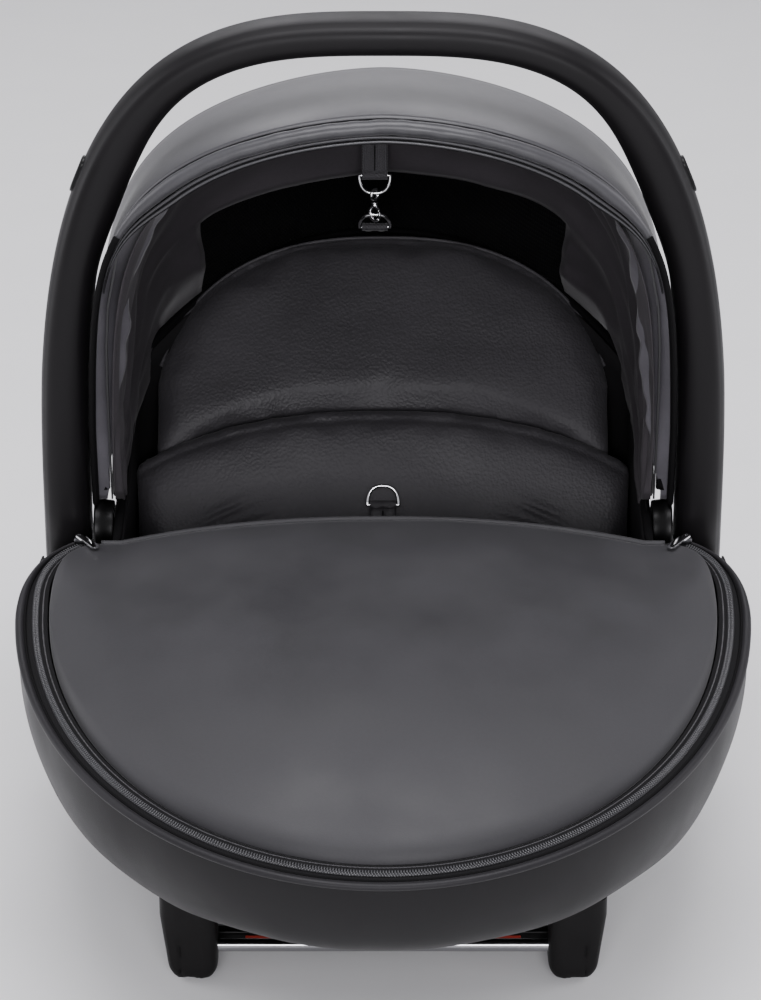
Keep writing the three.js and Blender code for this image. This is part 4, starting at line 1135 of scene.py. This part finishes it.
def pucker(x, rise, centre_x, centre_rise, tilt):
    """A pinched fold: two ridges either side of a short valley."""
    dx, dr = x - centre_x, rise - centre_rise
    along = dx * math.cos(tilt) + dr * math.sin(tilt)
    across = -dx * math.sin(tilt) + dr * math.cos(tilt)
    return math.exp(-(along / 17) ** 2) * (1.5 * math.exp(-((across - 3.4) / 2.6) ** 2)
                                           - 2.4 * math.exp(-(across / 2.0) ** 2)
                                           + 1.2 * math.exp(-((across + 3.6) / 2.8) ** 2))


def middle_height(x, rise):
    folds = sum(pucker(x, rise, side * 108, -70, side * -0.42)
                + 0.7 * pucker(x, rise, side * 92, -76, side * -0.3) for side in (-1, 1))
    welt = top_gap(x, rise, middle_top)
    dent = -2.2 * math.exp(-(x / 20) ** 2 - ((rise + 80) / 26) ** 2)
    return folds + dent + 0.8 * noise.noise(Vector((x / 38, rise / 24, 7))) - 1.4 * bump_at(welt, 9, 2.0)


cushion("back_cushion_leather", back_place, 157, back_top, back_foot, 23, 6, 0.005,
        "back_cushion", back_height)
cushion("middle_cushion_leather", middle_place, 169, middle_top, lambda x: -136, 24, 5, 0.005,
        "middle_cushion", middle_height)


def welt(name, place, half, top, inset, proud, radius, steps=140):
    """Piping sewn along the arched top of a cushion."""
    path = []
    for i in range(steps + 1):
        turn = (i / steps - 0.5) * math.pi
        x = half * math.sin(turn)
        path.append(place(x, top(x) - inset, proud))
    out = place(0, 0, 1) - place(0, 0, 0)
    return piece(name, *tube(path, out.normalized(), radius, radius, 10),
                 "leather", "root", "cushion_leather")


welt("back_cushion_welt", back_place, 154.0, back_top, 3.4, -7.0, 0.0012)


def bed_point(u, v, low):
    turn = (2 * u - 1) * math.pi / 2
    edge = (1 - abs(2 * v - 1) ** 4) * (1 - abs(2 * u - 1) ** 4)
    x = 146 * power(math.sin(turn), 0.75)
    y = -95 + 128 * max(0.02, math.cos(turn)) ** 0.75 * (2 * v - 1)
    return at(x, y, -131 if low else -125 + 8 * edge)


bed = piece("bed_cushion_leather", *thick_sheet(lambda u, v: bed_point(lerp(0.04, 0.96, u), v, False),
                                                lambda u, v: bed_point(lerp(0.04, 0.96, u), v, True), 40, 30),
            "leather", None, "cushion_leather")
plump(bed, 0.004, 3.0)
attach(bed, "root")
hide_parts("bed_cushion")


# ------------------------------------------------------------------ carry handle, hubs and buttons
HANDLE_PIVOT = -45
HANDLE_SPAN = 205.5
HANDLE_TOP = 336
BUTTON_TURN = math.radians(36.4)


def handle_point(turn, y=0.0):
    return at(HANDLE_SPAN * power(math.cos(turn), 2 / 3.1), y, HANDLE_TOP * max(0, math.sin(turn)) ** (2 / 3.1))


def handle_thickness(t):
    """Thin at the grip and thicker down the legs; t runs 0 to 1 from leg to leg."""
    return lerp(24, 31, clamp(1.35 * abs(2 * t - 1) ** 2.4)) * MM


def shoulder_fill(rise):
    """Extra metres on the inside of the shoulders, none where the hood comes close."""
    return 0.0048 * ease((rise - 176) / 62) * (1 - ease((rise - 250) / 70))


PARTING_LINES = (42, 138, 222, 318)      # degrees round the section


def handle_mesh(sides=64, steps=260):
    """Superellipse tube with a fine parting line on its inner and outer faces."""
    turns = [math.pi * i / steps for i in range(1, steps)]
    path = [at(HANDLE_SPAN, 0, -18.6)] + [handle_point(t) for t in turns] + [at(-HANDLE_SPAN, 0, -18.6)]
    points = []
    for k, centre in enumerate(path):
        along = (path[min(k + 1, len(path) - 1)] - path[max(k - 1, 0)]).normalized()
        depth = Vector((0, 1, 0))
        out = along.cross(depth).normalized()
        half = handle_thickness(k / (len(path) - 1)) / 2
        for j in range(sides):
            turn = 2 * math.pi * j / sides
            groove = 1 - 0.0175 * sum(bump_at(math.degrees(turn), line, 3.4) for line in PARTING_LINES)
            inside = math.cos(turn) * out.x * (centre.x - PIVOT.x) < 0
            full = half + inside * shoulder_fill((centre.z - PIVOT.z) / MM)
            points.append(centre + depth * 0.020 * groove * power(math.sin(turn), 2 / 2.6)
                          + out * full * groove * power(math.cos(turn), 2 / 2.6))
    return points, ring_links(len(path), sides)


handle = piece("handle_shell", *handle_mesh(), "handle", "handle", "handle_plastic")
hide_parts("carry_handle")


def shoulder_frame(side):
    """Origin and axes on the outer face of one shoulder: along the tube, out of it, and across."""
    here = handle_point(BUTTON_TURN)
    along = (handle_point(BUTTON_TURN + 0.02) - here).normalized()
    out = Vector((along.z, 0, -along.x))
    here = here + out * handle_thickness(BUTTON_TURN / math.pi) / 2
    if side < 0:
        here, along, out = (Vector((-v.x, v.y, v.z)) for v in (here, along, out))
    return here, along, out, along.cross(out)


def stadium_button(name, side, length, width, low, high, material, dish):
    """Long button with rounded ends and a dished face."""
    origin, along, out, across = shoulder_frame(side)
    points = []
    rings = [(1.0, low), (1.0, high - 0.8), (0.985, high - 0.3), (0.94, high), (0.80, high - dish * 0.5),
             (0.45, high - dish), (0.12, high - dish * 1.1)]
    around = 48
    half = (length - width) / 2
    for scale, height in rings:
        for i in range(around):
            turn = 2 * math.pi * i / around
            x = (math.copysign(half, math.cos(turn)) + width / 2 * math.cos(turn)) * scale
            y = width / 2 * math.sin(turn) * scale
            points.append(origin + (along * x + across * y + out * height) * MM)
    return piece(name, points, ring_links(len(rings), around), material,
                 f"button_{'left' if side > 0 else 'right'}", "button_plastic")


def turned(name, side, profile, material, body, slot, y=0.0, z=0.0, around=64):
    """A turned piece about an axis along X: profile is (distance from the middle plane, radius) in mm."""
    points = []
    for x, radius in profile:
        for i in range(around):
            turn = 2 * math.pi * i / around
            points.append(at(side * x, y + radius * math.cos(turn), z + radius * math.sin(turn)))
    return smooth_by_angle(piece(name, points, ring_links(len(profile), around), material, body, slot), 40)


for name, side in SIDES:
    button = stadium_button(f"release_button_{name}_cap", side, 25, 12.5, -4.4, 1.2, "button", 1.6)
    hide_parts(f"release_button_{name}")
    hub = turned(f"handle_hub_{name}_disc", side,
                 [(190, 19), (190, 24.4), (191.4, 25.8), (199, 25.8), (199.4, 25.2), (200.2, 25.2),
                  (200.6, 25.8), (219.2, 25.8), (220.8, 24.6), (221, 22), (221, 18), (220.2, 17.2),
                  (220.2, 12.6)],
                 "handle", "handle", "handle_plastic", 0, HANDLE_PIVOT)
    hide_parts(f"handle_hub_{name}")
    cap = turned(f"hub_cap_{name}_disc", side,
                 [(221.4, 11.9), (222.6, 11.9), (223.2, 11.2), (223.2, 7.4), (222.8, 7.0), (222.8, 1.0)],
                 "button", "root", "button_plastic", 0, HANDLE_PIVOT)
    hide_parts(f"hub_cap_{name}")
    disc = turned(f"hood_pivot_{name}_boss", side,
                  [(175.9, 15), (175.9, 17.6), (177, 18), (181, 18.4), (183, 20.2), (187, 20.6),
                   (188.2, 19.6), (188.2, 11), (187.4, 10), (187.4, 5.2)],
                  "button", "root", "bow_plastic", 0, 0)
    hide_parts(f"hood_pivot_disc_{name}")


# ------------------------------------------------------------------ runners, rods and cross bar
RUNNER_INNER = 104
RUNNER_OUTER = 137
RUNNER_FRONT = -226
RUNNER_REAR = 196
SOLE = -199.6
TOP = -145.6
ROD_Z = -186
ROD_PLACES = (("front", -214), ("rear", 150))


def runner_sole(y):
    """Underside of the runner: feet at both ends and a long arch between them."""
    front, rear = y - RUNNER_FRONT, RUNNER_REAR - y
    near = min(front, rear)
    return SOLE + 22 * ease((near - 78) / 46)


def runner_section(side, y, top, squeeze=1.0, sides=40):
    """Rounded section across the runner, tapered towards its sole."""
    sole = runner_sole(y)
    points = []
    middle_x, half_x = (RUNNER_INNER + RUNNER_OUTER) / 2, (RUNNER_OUTER - RUNNER_INNER) / 2
    for j in range(sides):
        turn = 2 * math.pi * (j + 0.5) / sides
        rise = power(math.sin(turn), 2 / 5.0)
        x = power(math.cos(turn), 2 / 4.2) * half_x * squeeze
        z = lerp(sole, top, (rise * squeeze + 1) / 2)
        taper = 1 - 0.16 * clamp((-160 - z) / 45)
        points.append(at(side * (RUNNER_INNER + (middle_x + x - RUNNER_INNER) * taper), y, z))
    return points


def runner_mesh(side):
    stations = []
    for y in [RUNNER_FRONT + d for d in (0.0, 0.6, 1.8, 3.6, 6.0, 9.0)]:
        stations.append((y, 1 - 0.10 * (1 - clamp((y - RUNNER_FRONT) / 9)) ** 2.4))
    stations += [(lerp(RUNNER_FRONT + 11, RUNNER_REAR - 11, i / 90), 1.0) for i in range(91)]
    for y in [RUNNER_REAR - d for d in (9.0, 6.0, 3.6, 1.8, 0.6, 0.0)]:
        stations.append((y, 1 - 0.10 * (1 - clamp((RUNNER_REAR - y) / 9)) ** 2.4))
    points = []
    sides = 40
    for y, squeeze in stations:
        front = ease((y - RUNNER_FRONT - 40) / 20)
        points += runner_section(side, y, lerp(TOP - 8, TOP, front), squeeze, sides)
    return points, ring_links(len(stations), sides)


def toe_mesh(side, y_face, direction):
    """Moulded cap over a runner's end: rounded foot, fine rib lines down its face, a small notch below."""
    points = []
    levels, around = 40, 72
    half_y = 15.0
    for level in range(levels + 1):
        z = lerp(-203.9, -146.5 if direction < 0 else -150.0, level / levels)
        drop = clamp((-203.9 + 9.5 - z) / 9.5)
        inset = 8.0 * (1 - math.sqrt(max(0, 1 - drop ** 2)))
        outer = lerp(132.6, 138.2, clamp((z + 203.9) / 44))
        inner = 102.6
        middle, half = (outer + inner) / 2, (outer - inner) / 2 - inset
        for i in range(around):
            turn = 2 * math.pi * (i + 0.5) / around
            x = middle + half * power(math.cos(turn), 2 / 4.6)
            depth = power(math.sin(turn), 2 / 4.6)
            y = y_face + direction * (half_y * depth - half_y + 1.4)
            face_on = clamp(depth * 4 - 3)
            rib = 1.5 * (bump_at(x, 125.6, 0.8) + 0.8 * bump_at(x, 114.8, 0.8)) * face_on
            y -= direction * (rib + 0.35 * inset * face_on)
            lift = 1.8 * bump_at(x, 120.2, 3.2) * clamp(1 - (z + 203.9) / 3)
            points.append(at(side * x, y, z + lift))
    return points, ring_links(levels + 1, around)


for name, side in SIDES:
    runner = piece(f"runner_{name}_beam", *runner_mesh(side), "shell", "root", "shell_plastic")
    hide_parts(f"runner_{name}")
    for end, y_face, direction in (("front", RUNNER_FRONT, -1), ("rear", RUNNER_REAR, 1)):
        toe = piece(f"runner_toe_{end}_{name}", *toe_mesh(side, y_face, direction),
                    "shell", "root", "shell_plastic")
        smooth_by_angle(toe, 50)
        start, stop = sorted((y_face - direction * 9, y_face - direction * 77))
        pad = block(f"sole_pad_{end}_{name}", *sorted((side * 109, side * 129)), start, stop, -205, -199.0,
                    "rubber", "root", "foot_rubber")
        smooth_by_angle(apply_modifiers(bevel(pad, 0.0016, 3)))
        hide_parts(f"foot_pad_{end}_{name}")

for end, y in ROD_PLACES:
    rod = turned(f"latch_rod_{end}_bar", 1,
                 [(-115, 3.0), (-114.4, 3.6), (-104.6, 3.6), (-104.2, 4.0), (104.2, 4.0), (104.6, 3.6),
                  (114.4, 3.6), (115, 3.0)], "rod", "root", "chrome", y, ROD_Z, 48)
    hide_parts(f"latch_rod_{end}")
bar = block("latch_bar_rail", -103.6, 103.6, -204, -196, -191, -182.6, "button", "root", "shell_plastic")
smooth_by_angle(apply_modifiers(bevel(bar, 0.0011, 3)))
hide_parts("latch_cross_bar")
for name, side in SIDES:
    near, far = sorted((side * 52, side * 86))
    mark = block(f"latch_mark_{name}", near, far, -205.5, -203.9, -187.9, -185.3,
                 "red", "root", "indicator_red")
    smooth_by_angle(apply_modifiers(bevel(mark, 0.0005, 2)))
    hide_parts(f"latch_indicator_{name}")


# ------------------------------------------------------------------ tether, rings and sliders
TETHER_X = -5.6
TETHER_Y = 203
HOOK_TURN = math.radians(-42)     # the hook has twisted round on its swivel
UPPER_BAR = 171
RING_HALF = 10.6
RING_DROP = 13
WIRE = 0.00125


def d_ring(bar_centre, towards, closed_steps=44):
    """Closed path of a D ring: straight bar through the webbing, round bow away from it."""
    path = []
    for i in range(closed_steps + 1):
        turn = math.pi * i / closed_steps
        path.append(bar_centre + towards * RING_DROP * MM * math.sin(turn) ** 0.8
                    + Vector((RING_HALF * MM * power(math.cos(turn), 0.8), 0, 0)))
    for i in range(1, 12):
        path.append(bar_centre + Vector((lerp(-RING_HALF, RING_HALF, i / 12) * MM, 0, 0)))
    return path


def ring(name, bar_centre, towards, body, cad):
    normal = Vector((1, 0, 0)).cross(towards).normalized()
    made = piece(name, *tube(d_ring(bar_centre, towards), normal, WIRE, WIRE, 14, closed=True),
                 "chrome", body, "chrome")
    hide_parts(cad)
    return made


def strap(name, eye, tail, half, cad, material="webbing"):
    """Doubled tab with two soft lobes and a sewn line down its middle; it wraps the ring's bar."""
    run = (tail - eye)
    length = run.length
    along = run.normalized()
    across = Vector((1, 0, 0))
    out = across.cross(along).normalized()
    stations = [(math.radians(a), 3.0) for a in range(-150, 151, 15)]
    points, faces = [], []
    columns = 24
    outline = []
    thick = 0.0019
    for angle, radius in stations:
        outline.append((-math.cos(angle) * radius * MM, math.sin(angle) * radius * MM * 0.9))
    for t in (0.12, 0.2, 0.35, 0.5, 0.65, 0.8, 1.0):
        outline.append((length * t, thick))
    outline = outline + [(length * t, -thick) for t in (1.0, 0.8, 0.65, 0.5, 0.35, 0.2, 0.12)]
    count = len(outline)
    for c in range(columns + 1):
        share = 2 * c / columns - 1
        lobe = 0.55 + 0.75 * abs(math.sin(math.pi * share)) ** 0.7 - 0.35 * bump_at(abs(share), 1, 0.08)
        for a, o in outline:
            away = lobe if a > 0.002 else 1.0
            points.append(eye + across * half * MM * share + along * a + out * o * away)
    for c in range(columns):
        for k in range(count):
            n = (k + 1) % count
            faces.append((c * count + k, c * count + n, (c + 1) * count + n, (c + 1) * count + k))
    faces += [tuple(range(count)), tuple(columns * count + k for k in range(count))]
    made = piece(name, points, faces, material, "root", "webbing")
    smooth_by_angle(made, 60)
    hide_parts(cad)
    for edge in (-1, 0, 1):
        line = [eye + across * edge * half * 0.86 * MM + along * lerp(0.004, length, i / 20)
                + out * (thick * (0.9 if edge else 0.75)) * side_sign(out) for i in range(21)]
        label = ("middle", "left", "right")[edge]
        piece(f"{name}_stitch_{label}", *tube(line, across, 0.0004, 0.0003, 6),
              "hood" if edge else "rim_dark", "root", "webbing")
    return made


def side_sign(direction):
    """Plus or minus one, whichever makes the direction face the front of the pod."""
    return -1 if direction.y > 0 else 1


upper_eye = at(TETHER_X, TETHER_Y, UPPER_BAR)
lower_eye = at(TETHER_X, 210.2, 130.6)
lower_up = Vector((0, -6, 11)).normalized()
lean = math.radians(61)
middle_up = Vector((0, math.cos(lean), math.sin(lean)))
middle_out = Vector((0, -math.sin(lean), math.cos(lean)))
middle_eye = at(0, 122, 29) + (middle_up * -64 + middle_out * 5.6) * MM
ring("tether_ring_top_wire", upper_eye, Vector((0, 0, -1)), "upper_ring", "tether_upper_ring")
ring("tether_ring_low_wire", lower_eye, lower_up, "lower_ring", "tether_lower_ring")
ring("cushion_ring_wire", middle_eye, middle_up, "cushion_ring", "cushion_ring")
strap("tether_strap_top", upper_eye, at(TETHER_X, TETHER_Y, 203), 8.9, "tether_upper_webbing")
strap("tether_strap_low", lower_eye, at(TETHER_X, 247, 116), 8.9, "tether_lower_webbing")
strap("cushion_strap", middle_eye, middle_eye - middle_up * 0.026, 8.8, "cushion_webbing", "leather")

BOW_Z = UPPER_BAR - RING_DROP


def loop_path(centre_z, half_y, half_z, squareness, yaw=0.0, steps=40, start=0.0, stop=2 * math.pi):
    """Part of a loop that hangs in an upright plane turned by yaw from the Y-Z plane."""
    path = []
    for i in range(steps if stop - start > 6.28 else steps + 1):
        turn = start + (stop - start) * i / steps
        rise = half_z * power(math.sin(turn), 2 / squareness)
        reach = half_y * power(math.cos(turn), 2 / squareness)
        path.append(at(TETHER_X + reach * math.sin(yaw), TETHER_Y + reach * math.cos(yaw), centre_z + rise))
    return path


eye_path = loop_path(BOW_Z - 1, 3.4, 3.7, 2.0, -HOOK_TURN)
swivel = piece("swivel_eye_wire", *tube(eye_path, Vector((0.7, 0.7, 0)), 0.0012, 0.0012, 12, closed=True),
               "chrome", "upper_ring", "chrome")
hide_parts("swivel_eye")
HOOK_TOP, HOOK_BOTTOM, HOOK_HALF = 148.4, 138, 5
HOOK_FLAT = Vector((math.cos(HOOK_TURN), -math.sin(HOOK_TURN), 0))
hook_middle, hook_half = (HOOK_TOP + HOOK_BOTTOM) / 2, (HOOK_TOP - HOOK_BOTTOM) / 2
hook_path = loop_path(hook_middle, HOOK_HALF, hook_half, 2.0, HOOK_TURN, 60,
                      math.radians(-148), math.radians(150))


def swelling(t):
    return lerp(0.00105, 0.00165, math.sin(math.pi * t) ** 2)


barrel_rings = [(1.5, 2.0), (1.7, 2.5), (0.9, 2.7), (0.4, 2.35), (0.0, 2.35), (-0.4, 2.7), (-1.2, 2.6),
                (-1.7, 2.0)]
BARREL_SIDES = 28
barrel_points = [at(TETHER_X + radius * math.cos(2 * math.pi * i / BARREL_SIDES),
                    TETHER_Y + radius * math.sin(2 * math.pi * i / BARREL_SIDES), HOOK_TOP + 1.9 + lift)
                 for lift, radius in barrel_rings for i in range(BARREL_SIDES)]
barrel_faces = ring_links(len(barrel_rings), BARREL_SIDES)
hook = piece("snap_hook_body", *joined([tube(hook_path, HOOK_FLAT, swelling, swelling, 14),
                                        (barrel_points, barrel_faces)]), "chrome", "hook", "chrome")
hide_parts("snap_hook")
gate_path = loop_path(hook_middle, HOOK_HALF, hook_half, 2.0, HOOK_TURN, 16,
                      math.radians(158), math.radians(202))
gate = piece("snap_gate_lever", *tube(gate_path, HOOK_FLAT, 0.0010, 0.0010, 12), "chrome", "gate", "chrome")
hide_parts("snap_hook_gate")

for name, side in SIDES:
    x, y = side * (ZIP_END[0] + 5), ZIP_END[1]
    z = rim_level(y) + ZIP_LIFT + 1.2 + 0.4
    body_points = []
    around = 36
    for scale, height in ((0.86, 0.0), (1.0, 0.5), (1.0, 2.4), (0.9, 3.3), (0.5, 3.8)):
        for i in range(around):
            turn = 2 * math.pi * i / around
            taper = 1 - 0.22 * math.cos(turn) * side
            body_points.append(at(x + 4.6 * scale * power(math.cos(turn), 0.7),
                                  y + 3.2 * scale * taper * power(math.sin(turn), 0.7), z + height))
    slider = piece(f"zip_slider_{name}_body", body_points, ring_links(5, around), "steel", "root", "chrome")
    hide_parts(f"zip_slider_{name}")
    turn = -side * math.pi / 5
    outer, holes = [], []
    for i in range(48):
        a = 2 * math.pi * i / 48
        reach = 2.3 if math.sin(a) > 0 else 2.9
        outer.append((reach * math.cos(a), (-3.2 if math.sin(a) > 0 else -22) + reach * math.sin(a)))
        holes.append((1.1 * math.cos(a), -3.4 + 1.1 * math.sin(a)))
    tab_points, tab_faces = [], []
    for loop, height in ((outer, 0.2), (outer, 1.2), (outer, 1.4), (holes, 1.4), (holes, 0.2)):
        shrink = 0.93 if (loop is outer and height == 1.4) else 1.0
        for px, py in loop:
            px, py = px * shrink, (py + 12.6) * shrink - 12.6 if loop is outer else py
            rx = px * math.cos(turn) - py * math.sin(turn)
            ry = px * math.sin(turn) + py * math.cos(turn)
            tab_points.append(at(x + side * 3 + rx, y + 2.4 + ry, z + 4.2 + height))
    for a, b in ((0, 1), (1, 2), (2, 3), (3, 4), (4, 0)):
        for i in range(48):
            n = (i + 1) % 48
            tab_faces.append((a * 48 + i, a * 48 + n, b * 48 + n, b * 48 + i))
    pull = piece(f"zip_pull_{name}_tab", tab_points, tab_faces, "chrome", f"pull_{name}", "chrome")
    smooth_by_angle(pull, 40)
    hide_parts(f"zip_pull_{name}")


# ------------------------------------------------------------------ CAD nodes that still show
FINISHES = {
    "bow": ("hood_front_bow", "hood_middle_bow", "hood_rear_bow",
            "hood_pivot_disc_left", "hood_pivot_disc_right"),
    "steel": ("hood_rivet_left", "hood_rivet_right", "detent_ring_left", "detent_ring_right"),
}
for cad in frame["nodes"].values():
    cad.data.materials.clear()
    cad.data.materials.append(MATERIALS["shell"])
for finish_name, names in FINISHES.items():
    for cad_name in names:
        frame["nodes"][cad_name].data.materials[0] = MATERIALS[finish_name]
